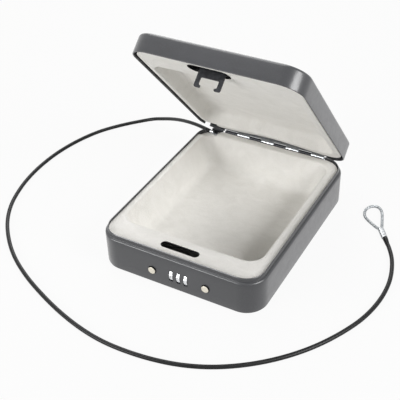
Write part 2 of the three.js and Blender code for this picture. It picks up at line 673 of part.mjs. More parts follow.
function hookTip(side) {
  const outer = hook.x - side * (hook.width / 2 - hook.leg - bolt.tipGap);
  const low = hook.tip + hook.toeHeight + fit;
  return box(
    span(outer, outer + side * bolt.tipLength), [hookFront - fit, boltBack],
    [low, low + bolt.tipHeight]);
}

function springTabX(side) {
  const cheek = side > 0 ? cheekLeft - frame.thick : cheekRight + frame.thick;
  return cheek - side * bolt.springRoom;
}

function springTab(side) {
  const face = springTabX(side);
  const z = [dial.z - bolt.springDrop - bolt.height / 2 + fit, dial.z - bolt.height / 2 + fit];
  const tabY = boltFront - 2 * bolt.springForward + fit;
  return join(
    box(span(face, face - side * bolt.springTab), [tabY, boltBack], z),
    box(span(face + side * (bolt.lobe - bolt.springTab), face - side * bolt.springTab),
      [boltFront, boltBack], z));
}

function guideSlot(side) {
  const x = outerEnd(side) + side * bolt.rivetInset;
  const half = bolt.rivetRadius + fit;
  const ends = span(x + side * half, x - side * (half + button.travel));
  const outline = roundedRect(ends[0], ends[1], dial.z - half, dial.z + half, 0.9 * half);
  return prism('y', outline, boltFront - overrun, boltBack + overrun, 4);
}

function leftBolt() {
  const barZ = [dial.z - bolt.height / 2, dial.z + bolt.height / 2];
  const bladeStart = dial.width / 2 + fit;
  const plateY = [boltFront, boltBack];
  const bar = box([outerEnd(1), dialRight + bladeStart + bolt.blade], plateY, barZ);
  const outer = hook.x - (hook.width / 2 - hook.leg - bolt.tipGap);
  const top = hook.tip + hook.toeHeight + fit + bolt.tipHeight;
  const arm = box([outer, outer + bolt.arm], plateY, [dial.z, top]);
  const blades = [dialLeft, dial.x, dialRight].map((x) => box(
    [x + bladeStart, x + bladeStart + bolt.blade],
    [dialY + sleeve.hubRadius + bolt.bladeGap, boltBack],
    [dial.z - bolt.bladeHeight / 2, dial.z + bolt.bladeHeight / 2]));
  return join(bar, arm, ...blades, hookTip(1), rampTab(1), springTab(1)).subtract(guideSlot(1));
}

function rightBolt() {
  const barZ = [dial.z - bolt.height / 2, dial.z + bolt.height / 2];
  const inner = springTabX(-1);
  const plateY = [boltFront, boltBack];
  const lower = box([inner - bolt.lobe / 2, outerEnd(-1)], plateY, barZ);
  const top = hook.tip + hook.toeHeight + fit + bolt.tipHeight;
  const armX = [inner + bolt.lobe, inner + bolt.lobe + bolt.rightArm];
  const arm = box(armX, plateY, [dial.z, top]);
  const outer = hook.x + (hook.width / 2 - hook.leg - bolt.tipGap);
  const upper = box([outer - bolt.tipLength, armX[1]], plateY, [top - bolt.rightBar, top]);
  return join(lower, arm, upper, hookTip(-1), rampTab(-1), springTab(-1)).subtract(guideSlot(-1));
}

function boltSpring(side) {
  const y = boltFront - bolt.springForward;
  const z = dial.z - bolt.springDrop;
  const cheek = side > 0 ? cheekLeft - frame.thick : cheekRight + frame.thick;
  return spring(
    new THREE.Vector3(springTabX(side), y, z), new THREE.Vector3(cheek, y, z),
    coil.boltRadius, coil.boltTurns);
}

function guideRivet(side) {
  const x = outerEnd(side) + side * bolt.rivetInset;
  const nose = boltFront - fit;
  const tail = bracketBack + fit;
  return turned('y', [x, 0, dial.z], [
    [0, nose - bolt.rivetHead], [bolt.rivetHeadRadius, nose - bolt.rivetHead],
    [bolt.rivetHeadRadius, nose], [bolt.rivetRadius, nose], [bolt.rivetRadius, tail],
    [bolt.rivetHeadRadius, tail], [bolt.rivetHeadRadius, tail + bolt.rivetHead],
    [0, tail + bolt.rivetHead],
  ], 12);
}

// Latch bracket: an angle on the floor that carries both bolts
function latchBracket() {
  const low = safe.steel + fit;
  const wall = box(bracketX, [bracketFront, bracketBack], [low, low + bracket.height]);
  const foot = box(bracketX, [bracketFront, bracketBack + bracket.foot], [low, low + bracket.thick]);
  const studHoles = bracketStudXs.map((x) => rod(
    'z', [x, bracketStudY, 0], low - overrun, low + overrun, stud.radius + fit, 12));
  const rivetBores = [1, -1].map((side) => rod(
    'y', [outerEnd(side) + side * bolt.rivetInset, 0, dial.z],
    bracketFront - overrun, bracketBack + overrun, bolt.rivetRadius + fit, 12));
  return join(wall, foot).subtract(join(...studHoles, ...rivetBores));
}

// Cable anchor: an angle on the rear wall, an eyelet with its crimped sleeve, and a hollow rivet
function anchorBracket() {
  const x = [anchorX - anchor.bracketWidth / 2, anchorX + anchor.bracketWidth / 2];
  const shelf = box(x, [anchorY - anchor.bracketFront, rear], [shelfTop - safe.steel, shelfTop])
    .intersect(prism('z', plan(safe.steel + fit), shelfTop - safe.steel, shelfTop));
  const wallZ = [shelfTop - anchor.bracketDrop, shelfTop];
  const wall = box(x, [anchorY, rear], wallZ)
    .intersect(prism('z', plan(safe.steel + fit), ...wallZ))
    .subtract(prism('z', plan(2 * safe.steel + fit), wallZ[0] - overrun, wallZ[1] + overrun));
  const hole = rod('z', [anchorX, anchorY, 0], 0, lipTop, anchor.rivetRadius + fit, 12);
  return join(shelf, wall).subtract(hole);
}

function cableEyelet() {
  const low = padTop + fit;
  const sleeveStart = anchorX - anchor.sleeveStart;
  const sleeveZ = low + anchor.sleeveRadius;
  const plate = rod('z', [anchorX, anchorY, 0], low, low + anchor.plate, anchor.plateRadius, 20);
  const tongue = box(
    [sleeveStart - anchor.sleeveLength / 2, anchorX],
    [anchorY - anchor.tongueHalf, anchorY + anchor.tongueHalf], [low, low + anchor.plate]);
  const crimp = rod(
    'x', [0, anchorY, sleeveZ], sleeveStart - anchor.sleeveLength, sleeveStart, anchor.sleeveRadius, 16);
  const hole = rod('z', [anchorX, anchorY, 0], 0, lipTop + overrun, anchor.rivetRadius + fit, 12);
  return join(plate, tongue, crimp).subtract(hole);
}

function anchorRivet() {
  const top = padTop + fit + anchor.plate + fit;
  const low = shelfTop - safe.steel - fit;
  const bore = anchor.boreRadius;
  const end = top + anchor.head;
  return turned('z', [anchorX, anchorY, 0], [
    [bore, low - anchor.head], [anchor.headRadius, low - anchor.head], [anchor.headRadius, low],
    [anchor.rivetRadius, low], [anchor.rivetRadius, top], [anchor.headRadius, top],
    [anchor.headRadius - anchor.head / 2, end], [bore, end], [bore, low - anchor.head],
  ], 16);
}

// Cable and the fittings at its far end
const cablePoints = route.map(([x, y, z]) => new THREE.Vector3(
  anchorX + x, anchorY + y, cable.radius + cable.lift + z));

function cableTube() {
  const curve = new THREE.CatmullRomCurve3(cablePoints, false, 'centripetal');
  return tube(curve, cable.radius, cable.sides, cable.steps);
}

const cableEnd = cablePoints.at(-1);
const cableBefore = cablePoints.at(-2);
const endDirection = new THREE.Vector3().subVectors(cableEnd, cableBefore).setZ(0).normalize();
const endSide = new THREE.Vector3(endDirection.y, -endDirection.x, 0);

// A place near the cable's end: so far along it, so far aside and so high
function endPoint(along, aside, height) {
  return new THREE.Vector3(cableEnd.x, cableEnd.y, height)
    .addScaledVector(endDirection, along).addScaledVector(endSide, aside);
}

function endPrism(width, height, start, length) {
  const section = new THREE.Shape();
  section.absellipse(0, 0, width / 2, height / 2, 0, 2 * Math.PI);
  const form = new THREE.ExtrudeGeometry(section, {
    depth: length, bevelEnabled: false, curveSegments: 16,
  });
  const up = new THREE.Vector3(0, 0, 1);
  const across = new THREE.Vector3().crossVectors(up, endDirection);
  form.applyMatrix4(new THREE.Matrix4().makeBasis(across, up, endDirection));
  const place = endPoint(start, 0, height / 2 + cable.lift);
  form.translate(place.x, place.y, place.z);
  return solid(form);
}

const ferruleStart = fit + ending.collar + fit;
const eyeStart = ferruleStart + ending.ferrule + fit;

function cableCollar() {
  const width = 2 * ending.collarRadius;
  return endPrism(width, width, fit, ending.collar);
}

function cableFerrule() {
  return endPrism(ending.ferruleWidth, ending.ferruleHeight, ferruleStart, ending.ferrule);
}

function cableEye() {
  const height = ending.wireRadius + cable.lift;
  const aside = ending.wireRadius + ending.wireGap / 2;
  const points = [
    endPoint(eyeStart, -aside, height),
    endPoint(eyeStart + ending.wireRadius, -aside, height),
    ...eyeShares.map(([u, v]) => endPoint(
      eyeStart + u * ending.eyeLength, v * ending.eyeWidth, height)),
    endPoint(eyeStart + ending.wireRadius, aside, height),
    endPoint(eyeStart, aside, height),
  ];
  const curve = new THREE.CatmullRomCurve3(points, false, 'centripetal');
  return tube(curve, ending.wireRadius, 8, ending.eyeSteps);
}

// Assembly
piece('base_shell', baseShell(), 'paint');
piece('base_liner', baseLiner(), 'flock');
piece('hinge_leaf_base', hingeLeaf(false), 'hingeSteel');
piece('hinge_pin', hingePin(), 'hingeSteel');
piece('lid_shell', lidShell(), 'paint', lidPieces);
piece('lid_liner', lidLiner(), 'flock', lidPieces);
piece('hinge_leaf_lid', hingeLeaf(true), 'hingeSteel', lidPieces);
piece('latch_hook', latchHook(), 'darkSteel', lidPieces);
rivetXs.forEach((x, i) => {
  piece(`hinge_rivet_base_${i + 1}`, leafRivet(x, baseRivetZ), 'darkSteel');
  piece(`hinge_rivet_lid_${i + 1}`, leafRivet(x, lidRivetZ), 'darkSteel', lidPieces);
});
hookStudXs.forEach((x, i) => {
  const low = lidTop - safe.steel - fit - hook.thick - fit - nut.thick;
  piece(`hook_nut_${i + 1}`, hexNut('z', [x, hookStudY, 0], low), 'zinc', lidPieces);
});
piece('lock_frame', lockFrame(), 'zinc');
studXs.forEach((x, i) => {
  piece(`frame_nut_${i + 1}`, hexNut('y', [x, 0, dial.z], frameBack + fit), 'zinc');
});
piece('dial_shaft', dialShaft(), 'zinc');
piece('shaft_clip', shaftClip(), 'zinc');
[dialLeft, dial.x, dialRight].forEach((x, i) => {
  piece(`dial_wheel_${i + 1}`, dialWheel(x), 'wheel');
  piece(`dial_sleeve_${i + 1}`, dialSleeve(x), 'zinc');
});
piece('detent_spring', detentSpring(), 'zinc');
[['left', 1, button.leftX], ['right', -1, button.rightX]].forEach(([name, side, x]) => {
  piece(`push_button_${name}`, pushButton(x, side), 'cap');
  piece(`button_spring_${name}`, buttonSpring(x), 'zinc');
  piece(`latch_bolt_${name}`, side > 0 ? leftBolt() : rightBolt(), 'zinc');
  piece(`bolt_spring_${name}`, boltSpring(side), 'zinc');
  piece(`bolt_rivet_${name}`, guideRivet(side), 'zinc');
});
piece('latch_bracket', latchBracket(), 'zinc');
bracketStudXs.forEach((x, i) => {
  const low = safe.steel + fit + bracket.thick + fit;
  piece(`bracket_nut_${i + 1}`, hexNut('z', [x, bracketStudY, 0], low), 'zinc');
});
piece('cable_anchor_bracket', anchorBracket(), 'paint');
piece('cable_eyelet', cableEyelet(), 'zinc');
piece('cable_rivet', anchorRivet(), 'zinc');
piece('cable', cableTube(), 'coating');
piece('cable_collar', cableCollar(), 'coating');
piece('cable_ferrule', cableFerrule(), 'aluminium');
piece('cable_eye', cableEye(), 'wire');

export default part;
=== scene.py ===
import math

import bmesh
import bpy
import numpy as np
from mathutils import Matrix, Vector


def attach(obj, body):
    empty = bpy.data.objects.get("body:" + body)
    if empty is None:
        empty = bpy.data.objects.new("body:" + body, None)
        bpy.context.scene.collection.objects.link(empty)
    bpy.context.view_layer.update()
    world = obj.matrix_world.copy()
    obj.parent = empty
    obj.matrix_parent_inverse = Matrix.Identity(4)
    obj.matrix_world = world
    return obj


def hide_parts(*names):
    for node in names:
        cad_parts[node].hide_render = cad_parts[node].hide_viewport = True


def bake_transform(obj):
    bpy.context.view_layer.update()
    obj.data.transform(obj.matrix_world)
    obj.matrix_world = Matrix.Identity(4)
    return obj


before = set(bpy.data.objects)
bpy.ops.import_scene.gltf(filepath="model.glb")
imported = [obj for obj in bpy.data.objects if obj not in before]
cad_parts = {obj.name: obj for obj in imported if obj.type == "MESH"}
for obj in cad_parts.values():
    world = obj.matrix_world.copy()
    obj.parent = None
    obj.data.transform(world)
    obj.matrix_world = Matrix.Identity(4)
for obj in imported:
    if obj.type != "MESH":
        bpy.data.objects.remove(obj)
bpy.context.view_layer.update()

print("stage: frame loaded,", len(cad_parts), "nodes")

mm = 0.001  # the model is in metres, the sizes below are in millimetres


# Small tools


def linear(hexColour):
    # sRGB to linear light: the low end is a straight line, the rest a 2.4 power
    shares = [int(hexColour[i:i + 2], 16) / 255 for i in (1, 3, 5)]
    return tuple(s / 12.92 if s <= 0.04045 else ((s + 0.055) / 1.055) ** 2.4 for s in shares) + (1.0,)


def addNode(tree, kind, settings):
    # A setting that the node itself has is its own, any other fills the socket of that name or number, with a
    # value or with a link from another node's output
    node = tree.nodes.new(kind)
    own = [key for key in settings if isinstance(key, str) and hasattr(node, key)]
    for key in own:
        setattr(node, key, settings[key])
    for key, value in settings.items():
        if key in own:
            continue
        if isinstance(value, bpy.types.NodeSocket):
            tree.links.new(value, node.inputs[key])
        else:
            node.inputs[key].default_value = value
    return node


def newMaterial(name):
    material = bpy.data.materials.new(name)
    material.use_nodes = True
    material.node_tree.nodes.clear()
    return material, material.node_tree


def noisePattern(tree, size, detail=2.0, stretch=(1, 1, 1), distortion=0.0):
    # Soft noise whose blotches are about as wide as the size, in millimetres
    place = addNode(tree, "ShaderNodeTexCoord", {}).outputs["Object"]
    place = addNode(tree, "ShaderNodeMapping", {"Scale": stretch, "Vector": place}).outputs[0]
    settings = {"Scale": 1 / (size * mm), "Detail": detail, "Distortion": distortion, "Vector": place}
    return addNode(tree, "ShaderNodeTexNoise", settings).outputs[0]


def twistPattern(tree, around, pitch):
    # A sine with so many waves round a cord, turning as they go: one passes each pitch, in millimetres
    uv = addNode(tree, "ShaderNodeTexCoord", {}).outputs["UV"]
    u, v, _ = addNode(tree, "ShaderNodeSeparateXYZ", {0: uv}).outputs
    total = 0.0
    for part, rate in ((u, around), (v, 1 / (pitch * mm))):
        wave = {"operation": "MULTIPLY_ADD", 0: part, 1: 2 * math.pi * rate, 2: total}
        total = addNode(tree, "ShaderNodeMath", wave).outputs[0]
    return addNode(tree, "ShaderNodeMath", {"operation": "SINE", 0: total}).outputs[0]


usual = (0.3, 0.7)  # nearly all of a noise's values lie between these
whole = (0, 1)


def makeFinish(name, facts):
    # Relief: each pattern with its height in millimetres, the lowest first. Colours: the first one, then each
    # pattern with the colour that it lays over the last, which of its values count and the shares they give.
    # Roughness: a pattern, which of its values count and the roughness they give
    material, tree = newMaterial(name)
    fields = {key: (twistPattern if "pitch" in wanted else noisePattern)(tree, **wanted)
              for key, wanted in facts["patterns"].items()}
    inputs = dict(facts["inputs"])
    for key, height in facts.get("relief", []):
        bump = {"Strength": 1.0, "Distance": height * mm, "Height": fields[key]}
        if "Normal" in inputs:
            bump["Normal"] = inputs["Normal"]
        inputs["Normal"] = addNode(tree, "ShaderNodeBump", bump).outputs[0]
    colour = linear(facts["colours"][0])
    for key, over, old, new in facts["colours"][1:]:
        grade = {0: fields[key], 1: old[0], 2: old[1], 3: new[0], 4: new[1]}
        share = addNode(tree, "ShaderNodeMapRange", grade).outputs[0]
        mix = {"data_type": "RGBA", 0: share, 6: colour, 7: linear(over)}
        colour = addNode(tree, "ShaderNodeMix", mix).outputs[2]
    inputs["Base Color"] = colour
    if "roughness" in facts:
        key, old, new = facts["roughness"]
        grade = {0: fields[key], 1: old[0], 2: old[1], 3: new[0], 4: new[1]}
        inputs["Roughness"] = addNode(tree, "ShaderNodeMapRange", grade).outputs[0]
    shader = addNode(tree, "ShaderNodeBsdfPrincipled", inputs)
    addNode(tree, "ShaderNodeOutputMaterial", {"Surface": shader.outputs[0]})
    return material


def linkPiece(name, mesh, material=None):
    piece = bpy.data.objects.new(name, mesh)
    bpy.context.scene.collection.objects.link(piece)
    if material:
        mesh.materials.clear()
        mesh.materials.append(material)
    return piece


def meshFrom(points, faces):
    mesh = bpy.data.meshes.new("surface")
    mesh.from_pydata(points.reshape(-1, 3).tolist(), [], faces)
    mesh.validate()
    mesh.update()
    return mesh


def readPlaces(items, name):
    # One row of three values for each vertex or face
    values = np.empty(3 * len(items))
    items.foreach_get(name, values)
    return values.reshape(-1, 3)


def giveSecondFinish(piece, material, chosen):
    # The chosen faces take another material than the rest
    piece.data.materials.append(material)
    piece.data.polygons.foreach_set("material_index", chosen.astype(np.int32))


def turnOutward(mesh):
    # Six times the volume is the sum of each face's corner, crossed with the next, along a third
    mesh.calc_loop_triangles()
    corners = np.empty(3 * len(mesh.loop_triangles), dtype=np.int32)
    mesh.loop_triangles.foreach_get("vertices", corners)
    a, b, c = readPlaces(mesh.vertices, "co")[corners.reshape(-1, 3)].transpose(1, 0, 2)
    if np.einsum("ij,ij->", a, np.cross(b, c)) < 0:
        mesh.flip_normals()


def ringSurface(name, rings, material, closedAlong=False, creases=35):
    # A grid of rings, each closed round; the first and last ring are filled, or joined to each other
    count, around = rings.shape[:2]
    last = count if closedAlong else count - 1
    i, j = np.meshgrid(np.arange(last), np.arange(around), indexing="ij")
    k, n = (i + 1) % count, (j + 1) % around
    quads = np.stack([i * around + j, i * around + n, k * around + n, k * around + j], -1).reshape(-1, 4)
    faces = quads.tolist()
    if not closedAlong:
        faces.append(list(range(around))[::-1])
        faces.append(list(range((count - 1) * around, count * around)))
    mesh = meshFrom(rings * mm, faces)
    layer = mesh.uv_layers.new(name="UVMap")
    steps = np.linalg.norm(np.diff(rings.mean(1), axis=0), axis=1)
    along = np.concatenate([[0], np.cumsum(steps), [np.sum(steps)]]) * mm
    sides = np.arange(around + 1) / around
    u = np.stack([sides[j], sides[j + 1], sides[j + 1], sides[j]], -1).reshape(-1)
    v = np.stack([along[i], along[i], along[i + 1], along[i + 1]], -1).reshape(-1)
    values = np.zeros((len(mesh.loops), 2))
    values[:len(u)] = np.stack([u, v], -1)
    layer.data.foreach_set("uv", values.astype(np.float32).reshape(-1))
    turnOutward(mesh)
    mesh.shade_smooth()
    mesh.set_sharp_from_angle(angle=math.radians(creases))
    return linkPiece(name, mesh, material)


def bakeModifiers(piece):
    graph = bpy.context.evaluated_depsgraph_get()
    mesh = bpy.data.meshes.new_from_object(piece.evaluated_get(graph))
    piece.modifiers.clear()
    old, piece.data = piece.data, mesh
    bpy.data.meshes.remove(old)


def carve(piece, cutters, creases=35):
    # Cuts closed solids out of the piece, then marks the new edges sharp
    for cutter in cutters:
        change = piece.modifiers.new("cut", "BOOLEAN")
        change.operation = "DIFFERENCE"
        change.solver = "EXACT"
        change.object = cutter
    bakeModifiers(piece)
    for cutter in cutters:
        old = cutter.data
        bpy.data.objects.remove(cutter)
        bpy.data.meshes.remove(old)
    piece.data.shade_smooth()
    piece.data.set_sharp_from_angle(angle=math.radians(creases))


def roundedRing(left, right, near, far, radius, perCorner=14, perSide=20):
    # Four quarter circles joined by evenly divided straight runs, anticlockwise
    angle = np.linspace(-math.pi / 2, 0, perCorner + 1)
    middles = [(right - radius, near + radius), (right - radius, far - radius),
               (left + radius, far - radius), (left + radius, near + radius)]
    arcs = [np.stack([x + radius * np.cos(angle + q * math.pi / 2),
                      y + radius * np.sin(angle + q * math.pi / 2)], 1)
            for q, (x, y) in enumerate(middles)]
    share = np.linspace(0, 1, perSide + 2)[1:-1, None]
    runs = [arcs[q][-1] + (arcs[(q + 1) % 4][0] - arcs[q][-1]) * share for q in range(4)]
    return np.concatenate([part for pair in zip(arcs, runs) for part in pair])


def atHeight(outline, height):
    return np.column_stack([outline, np.full(len(outline), height)])


def cutterPrism(outline, axis, low, high):
    # An outline in the two other axes, carried straight along one axis
    order = {"y": (0, 2, 1), "z": (0, 1, 2)}[axis]
    rings = np.stack([atHeight(outline, h)[:, order] for h in (low, high)])
    return ringSurface("cutter", rings, None)


def cutterBox(x, y, z):
    outline = np.array([[x[0], y[0]], [x[1], y[0]], [x[1], y[1]], [x[0], y[1]]], float)
    return cutterPrism(outline, "z", z[0], z[1])


def circle(u, v, radius, sides=32):
    turn = np.linspace(0, 2 * math.pi, sides, endpoint=False)
    return np.stack([u + radius * np.cos(turn), v + radius * np.sin(turn)], 1)


def arc(middleU, middleV, radius, start, end, steps=5):
    turn = np.radians(np.linspace(start, end, steps + 1))
    return np.stack([middleU + radius * np.cos(turn), middleV + radius * np.sin(turn)], 1)


copyFacts = {"mergeWithin": 0.002, "flatDegrees": 0.4, "cornerDegrees": 57.3, "thicknessWithin": 0.2,
             "parallelAbove": 0.99, "cornerSegments": 5}


def tidyCopy(node, name, material, edge=0.2, segments=2, angle=28, corners=None):
    # A copy of a CAD solid, its corners merged, its edges rounded by the edge size in millimetres.
    # Corners give a sheet piece a direction through the sheet, its thickness and its outline's rounding
    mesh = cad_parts[node].data.copy()
    shape = bmesh.new()
    shape.from_mesh(mesh)
    bmesh.ops.remove_doubles(shape, verts=shape.verts, dist=copyFacts["mergeWithin"] * mm)
    bmesh.ops.dissolve_limit(shape, angle_limit=math.radians(copyFacts["flatDegrees"]), verts=shape.verts,
                             edges=shape.edges)
    if corners:
        through, thick, rounding = corners
        sharp = [e for e in shape.edges
                 if e.is_manifold and e.calc_face_angle() > math.radians(copyFacts["cornerDegrees"])
                 and abs(e.calc_length() - thick * mm) < copyFacts["thicknessWithin"] * mm
                 and abs((e.verts[1].co - e.verts[0].co).normalized().dot(Vector(through)))
                 > copyFacts["parallelAbove"]]
        bmesh.ops.bevel(shape, geom=sharp, offset=rounding * mm, segments=copyFacts["cornerSegments"],
                        profile=0.5, affect="EDGES", clamp_overlap=True)
    shape.to_mesh(mesh)
    shape.free()
    if "custom_normal" in mesh.attributes:
        mesh.attributes.remove(mesh.attributes["custom_normal"])
    piece = linkPiece(name, mesh, material)
    mesh.shade_smooth()
    if edge:
        bevel = piece.modifiers.new("edge", "BEVEL")
        bevel.width = edge * mm
        bevel.segments = segments
        bevel.limit_method = "ANGLE"
        bevel.angle_limit = math.radians(angle)
        bevel.use_clamp_overlap = True
    even = piece.modifiers.new("even", "WEIGHTED_NORMAL")
    even.keep_sharp = True
    bakeModifiers(piece)
    return piece


def smoothPath(points, perSpan=12):
    # Centripetal curve through points: each tangent weighs its neighbours by the root of their distance
    p = np.array(points, float)
    p = np.vstack([2 * p[0] - p[1], p, 2 * p[-1] - p[-2]])
    d = np.sqrt(np.linalg.norm(np.diff(p, axis=0), axis=1))[:, None]
    p0, p1, p2, p3 = p[:-3], p[1:-2], p[2:-1], p[3:]
    d0, d1, d2 = d[:-2], d[1:-1], d[2:]
    m1 = ((p1 - p0) / d0 - (p2 - p0) / (d0 + d1) + (p2 - p1) / d1) * d1
    m2 = ((p2 - p1) / d1 - (p3 - p1) / (d1 + d2) + (p3 - p2) / d2) * d1
    s = np.linspace(0, 1, perSpan, endpoint=False)[None, :, None]
    a, b, c, e = (x[:, None, :] for x in (p1, m1, p2, m2))
    curve = (2 * s**3 - 3 * s**2 + 1) * a + (s**3 - 2 * s**2 + s) * b \
        + (3 * s**2 - 2 * s**3) * c + (s**3 - s**2) * e
    return np.vstack([curve.reshape(-1, 3), p[-2]])


def evenPath(path, spacing):
    # The same line with its points at even distances
    reach = np.concatenate([[0], np.cumsum(np.linalg.norm(np.diff(path, axis=0), axis=1))])
    count = max(2, int(round(reach[-1] / spacing)) + 1)
    places = np.linspace(0, reach[-1], count)
    return np.stack([np.interp(places, reach, path[:, k]) for k in range(3)], 1), reach[-1]


def sweep(path, sections):
    # Each section, in aside and up, stands square to the path at its own point
    tangent = np.gradient(path, axis=0)
    tangent /= np.linalg.norm(tangent, axis=1)[:, None]
    side = np.cross(tangent, [0, 0, 1])
    side /= np.linalg.norm(side, axis=1)[:, None]
    up = np.cross(side, tangent)
    return path[:, None] + sections[..., :1] * side[:, None] + sections[..., 1:] * up[:, None]


# Camera: the photograph's place, turn and lens

cameraView = {"azimuth": 30.37, "elevation": 37.30, "distance": 956.11, "right": -31.14, "up": -0.38,
              "height": 40, "roll": -2.19, "lens": 76.56}


def makeCamera():
    a, e, r = (math.radians(cameraView[k]) for k in ("azimuth", "elevation", "roll"))
    back = Vector((math.sin(a) * math.cos(e), -math.cos(a) * math.cos(e), math.sin(e)))
    right = (-back).cross(Vector((0, 0, 1))).normalized()
    up = right.cross(-back)
    aim = Vector((0, 0, cameraView["height"])) + right * cameraView["right"] + up * cameraView["up"]
    place = (aim + back * cameraView["distance"]) * mm
    across = right * math.cos(r) + up * math.sin(r)
    above = -right * math.sin(r) + up * math.cos(r)
    data = bpy.data.cameras.new("camera")
    data.lens = cameraView["lens"]
    data.sensor_width = 36
    data.clip_start, data.clip_end = 0.01, 50
    camera = bpy.data.objects.new("camera", data)
    turn = Matrix((across, above, back)).transposed().to_4x4()
    camera.matrix_world = Matrix.Translation(place) @ turn
    bpy.context.scene.collection.objects.link(camera)
    bpy.context.scene.camera = camera


makeCamera()


# Cable: black vinyl over steel rope, from the anchor over the lip and round the front

cableFacts = {"radius": 2.3, "lift": 0.1, "sides": 16, "spacing": 1.6, "anchor": (-74.2, 110.4)}
# X and Y from the anchor's middle, Z how far its underside rises from where it lies on the ground
cableRoute = [
    [-8.6, 0, 40.9], [-16.4, 1.7, 41.2], [-25, 4.6, 40.5], [-33.8, 8.2, 38.8], [-44.4, 13, 35.8],
    [-65.8, 24.1, 27.3], [-85.8, 32.9, 18.5], [-101.8, 37.9, 11.5], [-117.8, 39.2, 5.9],
    [-134.8, 32.2, 1.7], [-154.8, 13.6, 0], [-171.8, -11.4, 0], [-183.8, -40.4, 0], [-191.3, -72.4, 0],
    [-193.8, -104.4, 0], [-191.8, -136.4, 0], [-185.8, -165.4, 0], [-175.3, -194.4, 0],
    [-159.8, -220.4, 0], [-137.8, -245.4, 0], [-111.8, -267.4, 0], [-80.8, -286.4, 0], [-47.8, -301.9, 0],
    [-13.8, -314.9, 0], [18.2, -323.9, 0], [46.2, -328.4, 0], [74.2, -328.9, 0], [104.2, -325.9, 0],
    [132.2, -319.4, 0], [159.2, -308.4, 0], [186.2, -291.4, 0], [211.2, -269.4, 0], [233.2, -242.9, 0],
    [251.2, -212.4, 0], [264.2, -180.4, 0], [270.2, -147.4, 0], [269.2, -115.4, 0], [261.2, -85.4, 0],
    [251.7, -66.9, 0], [243.6, -55.4, 0],
]
cableLine = np.array(cableRoute, float) + [*cableFacts["anchor"], cableFacts["radius"] + cableFacts["lift"]]
endFacts = {
    "gap": 0.3, "collar": 3, "collarRise": 0.7,
    "ferrule": {"length": 16.5, "width": 7.1, "height": 4.6, "presses": 3, "narrowed": 0.05,
                "flattened": 0.14, "endDraw": 0.16, "drawShare": 0.02, "ovalPower": 0.72,
                "rings": 70, "sides": 48},
    "eye": {"wireRadius": 1.7, "wireGap": 0.4, "length": 42.5, "width": 21.5, "strands": 6, "lay": 11,
            "groove": 0.14, "lobePower": 0.55, "buried": 4, "straight": 1.4, "pinch": 0.8,
            "spacing": 0.35, "sides": 48},
}
# How far along from the cable's end, and how thick from the middle, the swollen coating is
collarProfile = np.array([
    [-7.5, 2.3], [-7.4, 2.33], [-5, 2.45], [-2.5, 2.7], [0, 2.9], [3, 2.95], [3.3, 2.7],
])
eyeShares = np.array([
    [0.09, -0.18], [0.26, -0.33], [0.44, -0.47], [0.6, -0.53], [0.75, -0.47], [0.88, -0.33],
    [0.97, -0.12], [1, 0.14], [0.95, 0.36], [0.83, 0.46], [0.65, 0.44], [0.44, 0.33], [0.24, 0.21],
    [0.09, 0.12],
])
cableStop = cableLine[-1]
cableHeading = cableStop - cableLine[-2]
cableHeading[2] = 0
cableHeading /= np.linalg.norm(cableHeading)
cableAside = np.array([cableHeading[1], -cableHeading[0], 0])


def nearEnd(along, aside, height):
    # So far past the cable's end, so far aside and so high
    place = cableStop + np.multiply.outer(along, cableHeading) + np.multiply.outer(aside, cableAside)
    place[..., 2] = height
    return place


# Extruded black vinyl on rope: smooth satin skin with the rope's lay just showing through. The six strands
# turn once each 24 mm, so one passes each 4 mm
vinyl = makeFinish("extruded black vinyl", {
    "patterns": {"lay": {"around": 6, "pitch": 4}, "grain": {"size": 1.1}, "dust": {"size": 6, "detail": 4}},
    "relief": [("grain", 0.02), ("lay", 0.012)],
    "colours": ["#0d0e0f", ("dust", "#191a1b", usual, whole)],
    "roughness": ("dust", usual, (0.3, 0.44)),
    "inputs": {"Specular IOR Level": 0.25},
})
# Bare galvanised rope: fine bright wires, duller in patches. The wires are drawn as slanting lines 0.4 mm
# apart, about as fine as can show
ropeSteel = makeFinish("galvanised wire rope", {
    "patterns": {"wires": {"around": 18, "pitch": -0.55}, "grime": {"size": 2.5, "detail": 4}},
    "relief": [("wires", 0.03)],
    "colours": ["#b9bcbe", ("grime", "#8b8f92", usual, whole)],
    "roughness": ("grime", usual, (0.3, 0.45)),
    "inputs": {"Metallic": 1},
})
# Soft aluminium sleeve squeezed in a press: dull bright metal with die marks and scuffs
aluminium = makeFinish("pressed aluminium", {
    "patterns": {"scuff": {"size": 1.6, "detail": 5, "distortion": 0.6},
                 "lines": {"size": 0.7, "stretch": (1, 1, 0.2)}},
    "relief": [("lines", 0.03), ("scuff", 0.08)],
    "colours": ["#c6c8ca", ("scuff", "#a4a7a9", usual, whole)],
    "roughness": ("scuff", usual, (0.28, 0.5)),
    "inputs": {"Metallic": 1},
})


def makeCable():
    path, length = evenPath(smoothPath(cableLine), cableFacts["spacing"])
    section = circle(0, 0, cableFacts["radius"], cableFacts["sides"])
    rings = sweep(path, np.broadcast_to(section, (len(path), *section.shape)))
    piece = ringSurface("vinyl_cable", rings, vinyl, creases=60)
    return piece, path, length


def makeCollar():
    # The coating's end, swollen where it enters the ferrule: radius against distance along
    along, radius = collarProfile.T
    height = cableStop[2] + np.interp(along, [along[0], 0], [0, endFacts["collarRise"]])
    path = nearEnd(along, np.zeros(len(along)), height)
    sections = radius[:, None, None] * circle(0, 0, 1, sides=24)[None]
    return ringSurface("cable_end_sleeve", sweep(path, sections), vinyl, creases=60)


